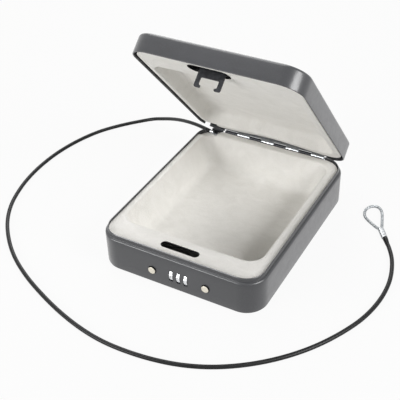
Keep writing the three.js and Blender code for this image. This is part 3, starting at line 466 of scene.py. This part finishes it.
def makeFerrule():
    # A flattened tube: its section is a squared oval, nipped in three presses and drawn in at its ends
    facts = endFacts["ferrule"]
    start = 2 * endFacts["gap"] + endFacts["collar"]
    s = np.linspace(0, 1, facts["rings"])
    nip = 0.5 * (1 + np.cos(2 * math.pi * facts["presses"] * s))
    nearestEnd = np.exp(-(s / facts["drawShare"]) ** 2), np.exp(-((1 - s) / facts["drawShare"]) ** 2)
    ends = 1 - facts["endDraw"] * nearestEnd[0] - facts["endDraw"] * nearestEnd[1]
    half = facts["width"] / 2 * ends * (1 - facts["narrowed"] * nip)
    rise = facts["height"] / 2 * ends * (1 - facts["flattened"] + facts["flattened"] * nip)
    oval = circle(0, 0, 1, facts["sides"])
    u, v = (np.sign(oval) * np.abs(oval) ** facts["ovalPower"]).T  # a power below one squares the oval off
    sections = np.stack([half[:, None] * u, rise[:, None] * v], -1)
    path = nearEnd(start + s * facts["length"], np.zeros(len(s)), facts["height"] / 2 + cableFacts["lift"])
    return ringSurface("ferrule", sweep(path, sections), aluminium, creases=50)


def makeEye():
    # Rope of six strands: its edge is six round lobes that turn as they go along
    facts = endFacts["eye"]
    start = 2 * endFacts["gap"] + endFacts["collar"] + endFacts["ferrule"]["length"]
    height = facts["wireRadius"] + cableFacts["lift"]
    aside = facts["wireRadius"] + facts["wireGap"] / 2
    along = np.array([start - facts["buried"], start, start + facts["straight"]])
    across = aside * np.array([facts["pinch"], 1, 1])
    points = np.vstack([
        nearEnd(along, -across, height),
        nearEnd(start + eyeShares[:, 0] * facts["length"], eyeShares[:, 1] * facts["width"], height),
        nearEnd(along[::-1], across[::-1], height)])
    path, length = evenPath(smoothPath(points), facts["spacing"])
    turn = np.linspace(0, 2 * math.pi, facts["sides"], endpoint=False)
    twist = 2 * math.pi * np.linspace(0, length, len(path)) / facts["lay"]
    lobe = np.abs(np.cos(facts["strands"] / 2 * (turn[None] - twist[:, None])))
    radius = facts["wireRadius"] * (1 - facts["groove"] + facts["groove"] * lobe ** facts["lobePower"])
    sections = np.stack([radius * np.cos(turn), radius * np.sin(turn)], -1)
    return ringSurface("wire_eye", sweep(path, sections), ropeSteel, creases=80)


cablePiece, cablePath, cableLength = makeCable()
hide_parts("cable")
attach(cablePiece, "base")
for piece, node, slot in ((makeCollar(), "cable_collar", "coating"),
                          (makeFerrule(), "cable_ferrule", "aluminium"),
                          (makeEye(), "cable_eye", "wire")):
    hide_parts(node)
    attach(piece, "base")
print("stage: cable, length in mm", round(cableLength))


# Finishes of the safe

# Baked gunmetal powder on sheet steel: satin, with the faint orange peel that melted powder leaves
paint = makeFinish("gunmetal powder coat", {
    "patterns": {"peel": {"size": 2.2}, "sheet": {"size": 45, "detail": 3},
                 "speck": {"size": 1.2, "detail": 1},
                 "handling": {"size": 11, "detail": 5, "distortion": 0.8}},
    "relief": [("sheet", 0.12), ("peel", 0.012)],
    "colours": ["#2e2f32", ("sheet", "#333438", usual, whole), ("speck", "#3e3f44", (0.45, 0.75), (0, 0.35))],
    "roughness": ("handling", usual, (0.32, 0.4)),
    "inputs": {"Coat Weight": 0.65, "Coat Roughness": 0.22},
})
# Short nylon fibres shot upright into glue on a vacuum-formed tray: a soft nap that brushes light and dark
flock = makeFinish("nylon flock", {
    "patterns": {"fibres": {"size": 0.55}, "tufts": {"size": 2.6, "detail": 4},
                 "brushed": {"size": 24, "detail": 4, "stretch": (1, 1.6, 1), "distortion": 1.2}},
    "relief": [("tufts", 0.35), ("fibres", 0.22)],
    "colours": ["#e8e6e2", ("brushed", "#dedcd7", usual, whole),
                ("fibres", "#f2f1ed", (0.35, 0.7), (0, 0.5))],
    "inputs": {"Roughness": 0.95, "Specular IOR Level": 0.2, "Sheen Weight": 0.25, "Sheen Roughness": 0.5},
})
# Pressed steel dipped black: dark grey metal, slightly cloudy. On the base hinge leaf it is painted shade
darkSteelAndShade = makeFinish("blackened steel", {
    "patterns": {"cloud": {"size": 3.5, "detail": 4}, "grain": {"size": 0.6}},
    "relief": [("grain", 0.02)],
    "colours": ["#36373a", ("cloud", "#4a4b4e", usual, whole)],
    "roughness": ("cloud", usual, (0.36, 0.52)),
    "inputs": {"Metallic": 0.85},
})
# Cold rolled hinge strip: grey metal with rolling lines along its length
hingeSteel = makeFinish("cold rolled steel", {
    "patterns": {"lines": {"size": 0.5, "stretch": (0.05, 1, 1)}, "stain": {"size": 9, "detail": 4}},
    "relief": [("lines", 0.02)],
    "colours": ["#97999b", ("stain", "#808285", usual, whole)],
    "roughness": ("lines", usual, (0.26, 0.42)),
    "inputs": {"Metallic": 1},
})
# Bright zinc over punched steel: pale bluish metal with small clouds. On the lid hinge's knuckles it is a
# painted highlight
zinc = makeFinish("bright zinc plate", {
    "patterns": {"cloud": {"size": 2.8, "detail": 4}, "grain": {"size": 0.5}},
    "relief": [("grain", 0.02)],
    "colours": ["#d3d6d9", ("cloud", "#bbbfc3", usual, whole)],
    "roughness": ("cloud", usual, (0.22, 0.38)),
    "inputs": {"Metallic": 1},
})
# Die-cast wheels with satin chrome: bright, softly ringed by tumbling
chrome = makeFinish("satin chrome", {
    "patterns": {"rings": {"size": 0.35, "stretch": (1, 0.08, 0.08)}, "haze": {"size": 1.5, "detail": 3}},
    "relief": [("rings", 0.015)],
    "colours": ["#f1f2f3", ("rings", "#dfe1e3", usual, whole)],
    "roughness": ("haze", usual, (0.26, 0.38)),
    "inputs": {"Metallic": 1},
})
# Lacquered nickel caps: pale warm metal, softly turned
nickel = makeFinish("lacquered nickel", {
    "patterns": {"turned": {"size": 0.4, "stretch": (1, 0.1, 1)}},
    "relief": [("turned", 0.01)],
    "colours": ["#efe9da", ("turned", "#ded7c6", usual, whole)],
    "inputs": {"Metallic": 0.35, "Roughness": 0.3, "Coat Weight": 0.5, "Coat Roughness": 0.1},
})
# Black enamel wiped into the cut numbers, greyed where it is worn thin
ink = makeFinish("black enamel", {
    "patterns": {"wear": {"size": 0.4}},
    "colours": ["#66676a", ("wear", "#808184", usual, whole)],
    "inputs": {"Roughness": 0.5},
})
# Near-black painted shade for the tray slots' cut walls and the buttons' skirts: dull, with fine tool lines
# round the cut
shadeBlack = makeFinish("painted shade black", {
    "patterns": {"lines": {"size": 0.5, "stretch": (1, 1, 0.2)}},
    "relief": [("lines", 0.02)],
    "colours": ["#17181a", ("lines", "#242527", usual, whole)],
    "inputs": {"Roughness": 0.6, "Specular IOR Level": 0.2},
})
print("stage: finishes")


# Shells: one sheet profile carried round the rounded plan

safeFacts = {"width": 192, "depth": 240, "cornerRadius": 24.5, "leastCorner": 4, "steel": 1.2,
             "openDegrees": 49.2, "axisY": 120.3, "axisZ": 41.3}
frontFace, rearFace, leftFace = -safeFacts["depth"] / 2, safeFacts["depth"] / 2, -safeFacts["width"] / 2
baseFacts = {"height": 41, "footRound": 2.5, "shoulderRound": 2.3, "lipInset": 2.6, "lipTop": 46,
             "lipFold": 0.35, "lipCurl": 4, "curlDrop": 2.7, "lipEdge": 0.25}
lidFacts = {"rim": 41.4, "rimEdge": 0.45, "top": 63.2, "topRound": 3.2}
lockFacts = {"dialX": (-4.5, 4.15, 12.8), "buttonX": {"left": -27.4, "right": 36.5}, "z": 17.8,
             "windowHalf": 2.4, "windowZ": (10.95, 24.65), "windowCorner": 1.2, "buttonHole": 4.95}
hingeFacts = {"rivetX": (-44, 1, 46), "rivetHole": 2, "notchX": (-67.1, 69.1), "notchY": 115.9,
              "base": {"rivetZ": 31.3, "notchZ": (38.75, 51)}, "lid": {"rivetZ": 51.3, "notchZ": (36, 43.85)}}
# The cable's way out through the lip and the lid's side, its X from the left face
cableGap = {"y": (108.6, 114.8), "base": {"x": (-1, 15.6), "z": (41.05, 51)},
            "lid": {"x": (-5, 13), "z": (36, 46.2)}}
cutFacts = {"out": 5, "into": 6}  # how far a cutter runs out of a wall and into it


def openedLid(places):
    # Turns closed-lid places about the hinge line, up and back
    turn = math.radians(safeFacts["openDegrees"])
    y = places[..., 1] - safeFacts["axisY"]
    z = places[..., 2] - safeFacts["axisZ"]
    turned = places.copy()
    turned[..., 1] = safeFacts["axisY"] + y * math.cos(turn) + z * math.sin(turn)
    turned[..., 2] = safeFacts["axisZ"] - y * math.sin(turn) + z * math.cos(turn)
    return turned


def openLidPiece(piece):
    turned = openedLid(readPlaces(piece.data.vertices, "co") / mm) * mm
    piece.data.vertices.foreach_set("co", turned.reshape(-1))
    piece.data.update()
    return piece


def planRing(inset):
    # The box's plan drawn in by an inset, its corners tighter by as much
    x, y = safeFacts["width"] / 2 - inset, safeFacts["depth"] / 2 - inset
    return roundedRing(-x, x, -y, y, max(safeFacts["cornerRadius"] - inset, safeFacts["leastCorner"]))


def shellFromProfile(name, profile):
    # The profile is a list of inset and height, from the middle of one face round to the other
    rings = np.stack([atHeight(planRing(inset), height) for inset, height in profile])
    return ringSurface(name, rings, paint, creases=40)


def throughWall(outline, face):
    # A cutter through the front or the rear wall, with its outline in X and Z
    out, into = (cutFacts[key] if face < 0 else -cutFacts[key] for key in ("out", "into"))
    return cutterPrism(outline, "y", *sorted((face - out, face + into)))


def hingeAndCableCuts(part):
    # The hinge's notch, the cable's notch and the rivets' holes, in the base or in the lid
    notch = cutterBox(hingeFacts["notchX"], (hingeFacts["notchY"], rearFace + cutFacts["out"]),
                      hingeFacts[part]["notchZ"])
    way = cutterBox([leftFace + x for x in cableGap[part]["x"]], cableGap["y"], cableGap[part]["z"])
    holes = [throughWall(circle(x, hingeFacts[part]["rivetZ"], hingeFacts["rivetHole"], sides=20), rearFace)
             for x in hingeFacts["rivetX"]]
    return [notch, way], holes


def makeBaseShell():
    h, t, edge = baseFacts["height"], safeFacts["steel"], baseFacts["lipEdge"]
    foot, shoulder, lip = baseFacts["footRound"], baseFacts["shoulderRound"], baseFacts["lipInset"]
    top, fold, curl = baseFacts["lipTop"], baseFacts["lipFold"], baseFacts["lipCurl"]
    # Points along the flats keep the faces even
    outside = np.vstack([
        [[26, 0], [12, 0], [5, 0]], arc(foot, foot, foot, 270, 180, steps=6),
        [[0, 12], [0, 22], [0, 32]], arc(shoulder, h - shoulder, shoulder, 180, 90, steps=6),
        arc(lip - fold, h + fold, fold, 270, 360, steps=4),
        arc(lip + curl, top - baseFacts["curlDrop"], curl, 180, 140, steps=8),
        arc(lip + t - edge, top - edge, edge, 120, 0, steps=4)])
    inner = foot - t / 2
    inside = np.vstack([
        [[lip + t, h + 2], [lip + t, h - t]],
        arc(t + shoulder / 2, h - t - shoulder / 2, shoulder / 2, 90, 180, steps=4),
        [[t, 30], [t, 20], [t, 10]], arc(t + inner, t + inner, inner, 180, 270), [[8, t], [26, t]]])
    shell = shellFromProfile("base_body", np.vstack([outside, inside]))
    half, (low, high), corner = (lockFacts[key] for key in ("windowHalf", "windowZ", "windowCorner"))
    windows = [throughWall(roundedRing(x - half, x + half, low, high, corner, perCorner=6, perSide=2),
                           frontFace) for x in lockFacts["dialX"]]
    buttonHoles = [throughWall(circle(x, lockFacts["z"], lockFacts["buttonHole"], sides=48), frontFace)
                   for x in lockFacts["buttonX"].values()]
    notches, rivetHoles = hingeAndCableCuts("base")
    carve(shell, windows + buttonHoles + rivetHoles + notches, creases=40)
    return shell


def makeLidShell():
    rim, top, t, r = lidFacts["rim"], lidFacts["top"], safeFacts["steel"], lidFacts["topRound"]
    edge = lidFacts["rimEdge"]
    profile = np.vstack([
        [[26, top], [14, top], [7, top]], arc(r, top - r, r, 90, 180, steps=8), [[0, 55], [0, 48]],
        arc(edge, rim + edge, edge, 180, 270, steps=4), arc(t - edge, rim + edge, edge, 270, 360, steps=4),
        [[t, 48], [t, 55]], arc(r, top - r, r - t, 180, 90, steps=6), [[9, top - t], [26, top - t]]])
    shell = shellFromProfile("lid_body", profile)
    notches, rivetHoles = hingeAndCableCuts("lid")
    carve(shell, notches + rivetHoles, creases=40)
    return openLidPiece(shell)


baseShell = makeBaseShell()
lidShell = makeLidShell()
for piece, node, body in ((baseShell, "base_shell", "base"), (lidShell, "lid_shell", "lid")):
    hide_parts(node)
    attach(piece, body)
print("stage: shells")


# Flocked liners: a flange lofted from the lip's line to the tray's mouth, then a soft bowl

# The gap is from the safe's outside to the flange; the sheet's other face is spread wider and lies behind
sheetFacts = {"gap": 4.1, "spread": 1.3, "wave": 0.1, "waveRuns": (17, 31, 23, 11), "leastCorner": 6,
              "floorReach": 60, "floorStop": 1.5, "floorRings": 9, "footSteps": 9, "wallSteps": 12,
              "mouthSteps": 6, "flangeSteps": 8, "perCorner": 14, "perSide": 30,
              "cutterZ": (36, 50), "cutMargin": 0.75, "uprightBelow": 0.4}
trayFacts = {
    "base": {"left": -86.5, "right": 80.5, "near": -87.5, "far": 105.5, "radius": 18, "slope": 12,
             "mouth": 43.1, "floor": 3.0, "blend": 9, "roll": 2.0, "behind": -1.4, "rearGap": 0.9,
             "slot": (-24.9, 20.5, -107.75, -98.25), "slotCorner": 4.74, "slotSteps": 12,
             "cableHole": 1.4},
    "lid": {"left": -87, "right": 83, "near": -77, "far": 105.5, "radius": 18, "slope": 6,
            "mouth": 43.4, "floor": 60.2, "blend": 6.5, "roll": 1.8, "behind": 1.4, "rearGap": 2.1,
            "slot": (-31.3, 17.3, -110.2, -92), "slotCorner": 9.09, "slotSteps": 16},
}
# Where each change of the formed sheet starts and how long it takes to reach its full depth
pressFacts = {"x": -69.4, "xRun": 2.2, "y": 97.5, "yRun": 5, "z": 34, "zRun": 5, "depth": 2.4}
channelFacts = {"x": -75.2, "y": 105.7, "run": 1.6, "roof": 46.5}
bowFacts = {"halfLength": 65, "y": 98, "yRun": 12, "z": 50, "zRun": 3, "height": 2.6}


def ease(share):
    # From nought to one with a level start and end
    s = np.clip(share, 0, 1)
    return s * s * (3 - 2 * s)


def bend(start, corner, end, steps):
    # A quadratic bend from start to end, drawn towards the corner
    s = np.linspace(0, 1, steps + 1)[:, None]
    return (1 - s) ** 2 * start + 2 * s * (1 - s) * corner + s ** 2 * end


def linerProfile(facts):
    # Inset from the mouth and height: floor, soft foot, sloped wall, rolled mouth
    depth = facts["floor"] - facts["mouth"]
    wall = np.array([-facts["slope"], -depth]) / math.hypot(facts["slope"], depth)
    foot = np.array([facts["slope"], facts["floor"]])
    lip = np.array([0.0, facts["mouth"]])
    footStart = foot + [facts["blend"], 0]
    footEnd = foot + wall * facts["blend"]
    lipStart = lip - wall * facts["roll"]
    lipEnd = lip - [facts["roll"], 0]
    middle = footEnd + (lipStart - footEnd) * np.linspace(0, 1, sheetFacts["wallSteps"])[1:-1, None]
    reach = np.linspace(sheetFacts["floorReach"], footStart[0] + sheetFacts["floorStop"],
                        sheetFacts["floorRings"])
    floor = np.column_stack([reach, np.full(len(reach), facts["floor"])])
    return np.vstack([floor, bend(footStart, foot, footEnd, sheetFacts["footSteps"]), middle,
                      bend(lipStart, lip, lipEnd, sheetFacts["mouthSteps"])])


def trayRing(facts, inset):
    # The mouth's outline drawn in by the inset, its corners tightening at half that pace
    radius = max(facts["radius"] - 0.5 * inset, sheetFacts["leastCorner"])
    return roundedRing(facts["left"] + inset, facts["right"] - inset, facts["near"] + inset,
                       facts["far"] - inset, radius, sheetFacts["perCorner"], sheetFacts["perSide"])


def linerSheet(facts, outer, shift):
    # Rings from the floor's middle to the flange's edge; the shift is the sheet's other face
    tray = np.stack([atHeight(trayRing(facts, inset), height) for inset, height in linerProfile(facts)])
    share = np.linspace(0, 1, sheetFacts["flangeSteps"] + 1)[1:, None, None]
    flange = tray[-1] + (atHeight(outer, facts["mouth"]) - tray[-1]) * share
    sheet = np.concatenate([tray, flange])
    x, y = sheet[..., 0], sheet[..., 1]
    # Formed sheet is never quite flat: slow waves, up to one and a half times the wave's height
    a, b, c, d = sheetFacts["waveRuns"]
    swell = np.sin(x / a + 0.6 * np.sin(y / b)) * np.cos(y / c + 0.4) + 0.5 * np.sin((x + y) / d)
    sheet[..., 2] += sheetFacts["wave"] * swell + shift
    return sheet


def linerRings(facts):
    # The shown face of the sheet out to the flange's edge, then its other face back to the middle
    gap, spread = sheetFacts["gap"], sheetFacts["spread"]
    x, y = safeFacts["width"] / 2 - gap, safeFacts["depth"] / 2 - gap
    outer = roundedRing(-x, x, -y, y - facts["rearGap"], safeFacts["cornerRadius"] - gap,
                        sheetFacts["perCorner"], sheetFacts["perSide"])
    wider = {**facts, "left": facts["left"] - spread, "right": facts["right"] + spread,
             "near": facts["near"] - spread, "far": facts["far"] + spread}
    return np.concatenate([linerSheet(facts, outer, 0), linerSheet(wider, outer, facts["behind"])[::-1]])


def punchSlot(piece, facts, otherCutters=()):
    # The slot's upright walls are painted near-black as the shade inside the slot
    left, right, near, far = facts["slot"]
    outline = roundedRing(*facts["slot"], facts["slotCorner"], facts["slotSteps"], perSide=6)
    slot = cutterPrism(outline, "z", *sheetFacts["cutterZ"])
    carve(piece, [slot, *otherCutters], creases=60)
    x, y, _ = readPlaces(piece.data.polygons, "center").T / mm
    margin = sheetFacts["cutMargin"]
    cut = (x > left - margin) & (x < right + margin) & (y > near - margin) & (y < far + margin)
    upright = np.abs(readPlaces(piece.data.polygons, "normal")[:, 2]) < sheetFacts["uprightBelow"]
    giveSecondFinish(piece, shadeBlack, cut & upright)


def makeBaseLiner():
    facts = trayFacts["base"]
    rings = linerRings(facts)
    # The rear left corner is pressed down under the cable's eyelet, and its slope runs on into the tray
    x, y, z = rings[..., 0], rings[..., 1], rings[..., 2]
    pressed = (ease((pressFacts["x"] - x) / pressFacts["xRun"])
               * ease((y - pressFacts["y"]) / pressFacts["yRun"])
               * ease((z - pressFacts["z"]) / pressFacts["zRun"]))
    rings[..., 2] -= pressFacts["depth"] * pressed
    piece = ringSurface("base_flocked_tray", rings, flock, creases=60)
    hole = circle(*cableFacts["anchor"], facts["cableHole"], sides=20)
    punchSlot(piece, facts, [cutterPrism(hole, "z", *sheetFacts["cutterZ"])])
    return piece


def makeLidLiner():
    facts = trayFacts["lid"]
    rings = linerRings(facts)
    # A short channel in the rear left corner clears the cable and the eyelet's sleeve when the lid is shut
    x, y, z = rings[..., 0], rings[..., 1], rings[..., 2]
    channel = (ease((channelFacts["x"] - x) / channelFacts["run"])
               * ease((y - channelFacts["y"]) / channelFacts["run"]))
    rings[..., 2] += channel * np.clip(channelFacts["roof"] - z, 0, None)
    # The rear flange bows up and away from the hinge's leaf, most at its middle
    along = np.cos(np.clip(x / bowFacts["halfLength"], -1, 1) * math.pi / 2) ** 2
    bow = along * ease((y - bowFacts["y"]) / bowFacts["yRun"]) * ease((bowFacts["z"] - z) / bowFacts["zRun"])
    rings[..., 2] += bowFacts["height"] * bow
    piece = ringSurface("lid_flocked_tray", rings, flock, creases=60)
    punchSlot(piece, facts)
    return openLidPiece(piece)


baseLiner = makeBaseLiner()
lidLiner = makeLidLiner()
for piece, node, body in ((baseLiner, "base_liner", "base"), (lidLiner, "lid_liner", "lid")):
    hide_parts(node)
    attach(piece, body)
print("stage: liners")


# Lock: number wheels and push buttons

wheelFacts = {
    "radius": 9.5, "width": 4, "hub": 4.5, "y": -111.5, "lands": 10, "notch": 0.4, "notchSteepness": 3.2,
    "notchPower": 0.8, "sides": 240,
    "edge": [(1.2, 0), (0.35, 0.06), (0.08, 0.3), (0, 0.6)],  # in from the rim, in from the side
    "shown": (3, 7, 1), "figureSize": 4.416, "figureWidth": 0.92, "figureDepth": 0.03, "figureLift": 0.01,
}
buttonFacts = {"face": -121.8, "plated": 0.6, "edge": 0.3}


def roundWheel(x, radius, turn):
    # A place so far from the wheel's axle, turned from the front upwards
    return np.stack([np.broadcast_to(x, turn.shape), wheelFacts["y"] - radius * np.cos(turn),
                     lockFacts["z"] + radius * np.sin(turn)], -1)


def makeWheel(index):
    # Radius round the wheel: ten flat lands with a rounded notch between each two; the edges are eased
    turn = np.linspace(0, 2 * math.pi, wheelFacts["sides"], endpoint=False)
    steepness = wheelFacts["notchSteepness"]
    notch = np.clip(np.cos(wheelFacts["lands"] * turn + math.pi) * steepness - (steepness - 1), 0, 1)
    rim = wheelFacts["radius"] - wheelFacts["notch"] * notch ** wheelFacts["notchPower"]
    half, hub, edge = wheelFacts["width"] / 2, wheelFacts["hub"], wheelFacts["edge"]
    profile = [(hub, -half), *[(rim - drop, side - half) for drop, side in edge],
               *[(rim - drop, half - side) for drop, side in edge[::-1]], (hub, half)]
    middle = lockFacts["dialX"][index]
    rings = np.stack([roundWheel(middle + offset, radius, turn) for radius, offset in profile])
    return ringSurface(f"number_wheel_{index + 1}", rings, chrome, closedAlong=True, creases=38)


def flatFigure(figure):
    # The figure as a thin flat mesh in millimetres: its places and its faces
    text = bpy.data.curves.new("figure", "FONT")
    text.body = str(figure)
    text.size = wheelFacts["figureSize"]
    text.align_x, text.align_y = "CENTER", "CENTER"
    text.extrude = wheelFacts["figureDepth"]
    carrier = bpy.data.objects.new("figure", text)
    bpy.context.scene.collection.objects.link(carrier)
    graph = bpy.context.evaluated_depsgraph_get()
    flat = bpy.data.meshes.new_from_object(carrier.evaluated_get(graph))
    places, faces = readPlaces(flat.vertices, "co"), [list(face.vertices) for face in flat.polygons]
    bpy.data.objects.remove(carrier)
    bpy.data.curves.remove(text)
    bpy.data.meshes.remove(flat)
    return places, faces


def makeDigits(index):
    # Each figure is bent onto its land: its height becomes an angle round the wheel
    radius = wheelFacts["radius"] + wheelFacts["figureLift"]
    step = 2 * math.pi / wheelFacts["lands"]
    points, faces, count = [], [], 0
    for figure in range(wheelFacts["lands"]):
        places, corners = flatFigure(figure)
        angle = places[:, 1] / radius + step * (wheelFacts["shown"][index] - figure)
        across = places[:, 0] * wheelFacts["figureWidth"] + lockFacts["dialX"][index]
        points.append(roundWheel(across, radius + places[:, 2], angle))
        faces += [[corner + count for corner in face] for face in corners]
        count += len(places)
    mesh = meshFrom(np.concatenate(points) * mm, faces)
    return linkPiece(f"wheel_figures_{index + 1}", mesh, ink)


for index in range(3):
    wheel, digits = makeWheel(index), makeDigits(index)
    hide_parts(f"dial_wheel_{index + 1}")
    for piece in (wheel, digits):
        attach(piece, f"dial_{index + 1}")


def makeButton(side):
    # The turned face is plated; everything behind its rounded edge is painted near-black as the shade in the
    # gap round the cap
    piece = tidyCopy(f"push_button_{side}", f"button_{side}_finished", nickel, buttonFacts["edge"],
                     segments=3)
    y = readPlaces(piece.data.polygons, "center")[:, 1] / mm
    giveSecondFinish(piece, shadeBlack, y > buttonFacts["face"] + buttonFacts["plated"])
    return piece


for side in ("left", "right"):
    button = makeButton(side)
    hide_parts(f"push_button_{side}")
    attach(button, f"button_{side}")
print("stage: lock")


# Carried-over solids: edges rounded and a finish each

dressed = [
    # The base hinge leaf takes the blackened steel as painted shade, darker than the lid's leaf of the same
    # steel
    ("hinge_leaf_base", "base", darkSteelAndShade, "dark_steel", 0.15),
    ("hinge_pin", "base", hingeSteel, "hinge_steel", 0.2),
    ("hinge_leaf_lid", "lid", hingeSteel, "hinge_steel", 0.15),
    ("latch_hook", "lid", darkSteelAndShade, "dark_steel", 0.25),
    ("cable_eyelet", "base", zinc, "zinc", 0.2),
    ("cable_rivet", "base", darkSteelAndShade, "dark_steel", 0.1),
    ("cable_anchor_bracket", "base", paint, "gunmetal", 0.15),
    ("hook_nut_1", "lid", zinc, "zinc", 0.15),
    ("hook_nut_2", "lid", zinc, "zinc", 0.15),
    ("lock_frame", "base", zinc, "zinc", 0.15),
    ("latch_bracket", "base", zinc, "zinc", 0.15),
    ("latch_bolt_left", "bolt_left", zinc, "zinc", 0.12),
    ("latch_bolt_right", "bolt_right", zinc, "zinc", 0.12),
]
dressed += [(f"hinge_rivet_{body}_{i}", body, darkSteelAndShade, "dark_steel", 0.2)
            for body in ("base", "lid") for i in (1, 2, 3)]
lidTurn = math.radians(safeFacts["openDegrees"])
sheetCorners = {"latch_hook": ((0, math.cos(lidTurn), -math.sin(lidTurn)), 1.6, 1.4)}
knuckleReach = 3.4  # from the hinge line to outside the rolled knuckles

for node, body, material, slot, edge in dressed:
    piece = tidyCopy(node, node + "_finished", material, edge, corners=sheetCorners.get(node))
    # The lid leaf's knuckles take bright zinc as a painted highlight along the hinge barrel
    if node == "hinge_leaf_lid":
        middles = readPlaces(piece.data.polygons, "center")[:, 1:] / mm
        away = np.linalg.norm(middles - [safeFacts["axisY"], safeFacts["axisZ"]], axis=1)
        giveSecondFinish(piece, zinc, away < knuckleReach)
    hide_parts(node)
    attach(piece, body)

# Each coil spring, listed with its ends at the base and at the piece that it pushes, is copied as it is in
# zinc
coilFacts = {"buttonY": (-110.7, -117), "boltX": {"left": (-9.5, -14.6), "right": (21.9, 27)},
             "boltY": -105, "boltZ": 11.5}
springFacts = []
for side, x in lockFacts["buttonX"].items():
    ends = [(x, y, lockFacts["z"]) for y in coilFacts["buttonY"]]
    springFacts.append((f"button_spring_{side}", f"button_{side}", *ends))
for side, places in coilFacts["boltX"].items():
    ends = [(x, coilFacts["boltY"], coilFacts["boltZ"]) for x in places]
    springFacts.append((f"bolt_spring_{side}", f"bolt_{side}", *ends))
for node, body, fixedEnd, movingEnd in springFacts:
    piece = tidyCopy(node, node + "_finished", zinc, 0)
    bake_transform(piece)
    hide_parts(node)

replaced = {"cable", "cable_collar", "cable_ferrule", "cable_eye"}
replaced |= {"base_shell", "lid_shell", "base_liner", "lid_liner", "push_button_left", "push_button_right"}
replaced |= {"dial_wheel_1", "dial_wheel_2", "dial_wheel_3"}
replaced |= {row[0] for row in springFacts + dressed}
for name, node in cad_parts.items():
    if name not in replaced:
        node.data.materials.clear()
        node.data.materials.append(zinc)
print("stage: carried-over solids", len(dressed))


# Studio: white to the eye, soft light, the object's own shadow kept

studioFacts = {"worldLight": 0.04, "floorSpan": 6, "floorHeight": -0.02, "ownWhite": 0.93,
               "lampAim": (0, 0, 0.06), "white": (1, 1, 1, 1)}
lampFacts = {
    "key": {"place": (1.32, -0.23, 0.87), "size": (0.8, 0.8), "power": 19},
    "front": {"place": (-0.75, -1.3, 0.55), "size": (1.0, 0.5), "power": 15},
    "rear": {"place": (-0.66, 1.14, 0.99), "size": (1.0, 0.8), "power": 8},
    "top": {"place": (-0.56, 0.24, 1.47), "size": (0.9, 0.9), "power": 7},
}


def rayShare(tree, *kinds):
    # One where the ray is of any of the kinds, nought elsewhere
    path = addNode(tree, "ShaderNodeLightPath", {})
    share = path.outputs[kinds[0]]
    for kind in kinds[1:]:
        either = {"operation": "MAXIMUM", 0: share, 1: path.outputs[kind]}
        share = addNode(tree, "ShaderNodeMath", either).outputs[0]
    return share


def makeWorld():
    world = bpy.data.worlds.new("studio")
    bpy.context.scene.world = world
    world.use_nodes = True
    tree = world.node_tree
    tree.nodes.clear()
    seen = rayShare(tree, "Is Camera Ray", "Is Glossy Ray", "Is Transmission Ray")
    strength = addNode(tree, "ShaderNodeMapRange", {0: seen, 3: studioFacts["worldLight"], 4: 1.0}).outputs[0]
    light = addNode(tree, "ShaderNodeBackground", {"Color": studioFacts["white"], "Strength": strength})
    addNode(tree, "ShaderNodeOutputWorld", {"Surface": light.outputs[0]})


def studioFloor():
    # White sweep paper: part of what the camera sees is its own white, so shadows stay light
    material, tree = newMaterial("white sweep paper")
    paper = addNode(tree, "ShaderNodeBsdfPrincipled",
                    {"Base Color": linear("#cfcfcd"), "Roughness": 0.9, "Specular IOR Level": 0.1})
    shown = rayShare(tree, "Is Camera Ray", "Is Glossy Ray")
    own = {"operation": "MULTIPLY", 0: shown, 1: studioFacts["ownWhite"]}
    share = addNode(tree, "ShaderNodeMath", own).outputs[0]
    glow = addNode(tree, "ShaderNodeEmission", {"Color": studioFacts["white"], "Strength": 1.0})
    both = addNode(tree, "ShaderNodeMixShader", {0: share, 1: paper.outputs[0], 2: glow.outputs[0]})
    addNode(tree, "ShaderNodeOutputMaterial", {"Surface": both.outputs[0]})
    return material


def makeFloor():
    half = studioFacts["floorSpan"] / 2
    corners = np.array([[-half, -half, 0], [half, -half, 0], [half, half, 0], [-half, half, 0]])
    corners[:, 2] = studioFacts["floorHeight"] * mm
    floor = linkPiece("studio_floor", meshFrom(corners, [[0, 1, 2, 3]]), studioFloor())


def makeLamp(name, place, size, power):
    data = bpy.data.lights.new(name, "AREA")
    data.shape = "RECTANGLE"
    data.size, data.size_y = size
    data.energy = power
    lamp = bpy.data.objects.new(name, data)
    toward = Vector(studioFacts["lampAim"]) - Vector(place)
    lamp.rotation_euler = toward.to_track_quat("-Z", "Y").to_euler()
    lamp.location = place
    bpy.context.scene.collection.objects.link(lamp)


makeWorld()
makeFloor()
for name, facts in lampFacts.items():
    makeLamp(name, **facts)
bpy.context.scene.view_settings.view_transform = "Standard"
print("stage: studio")
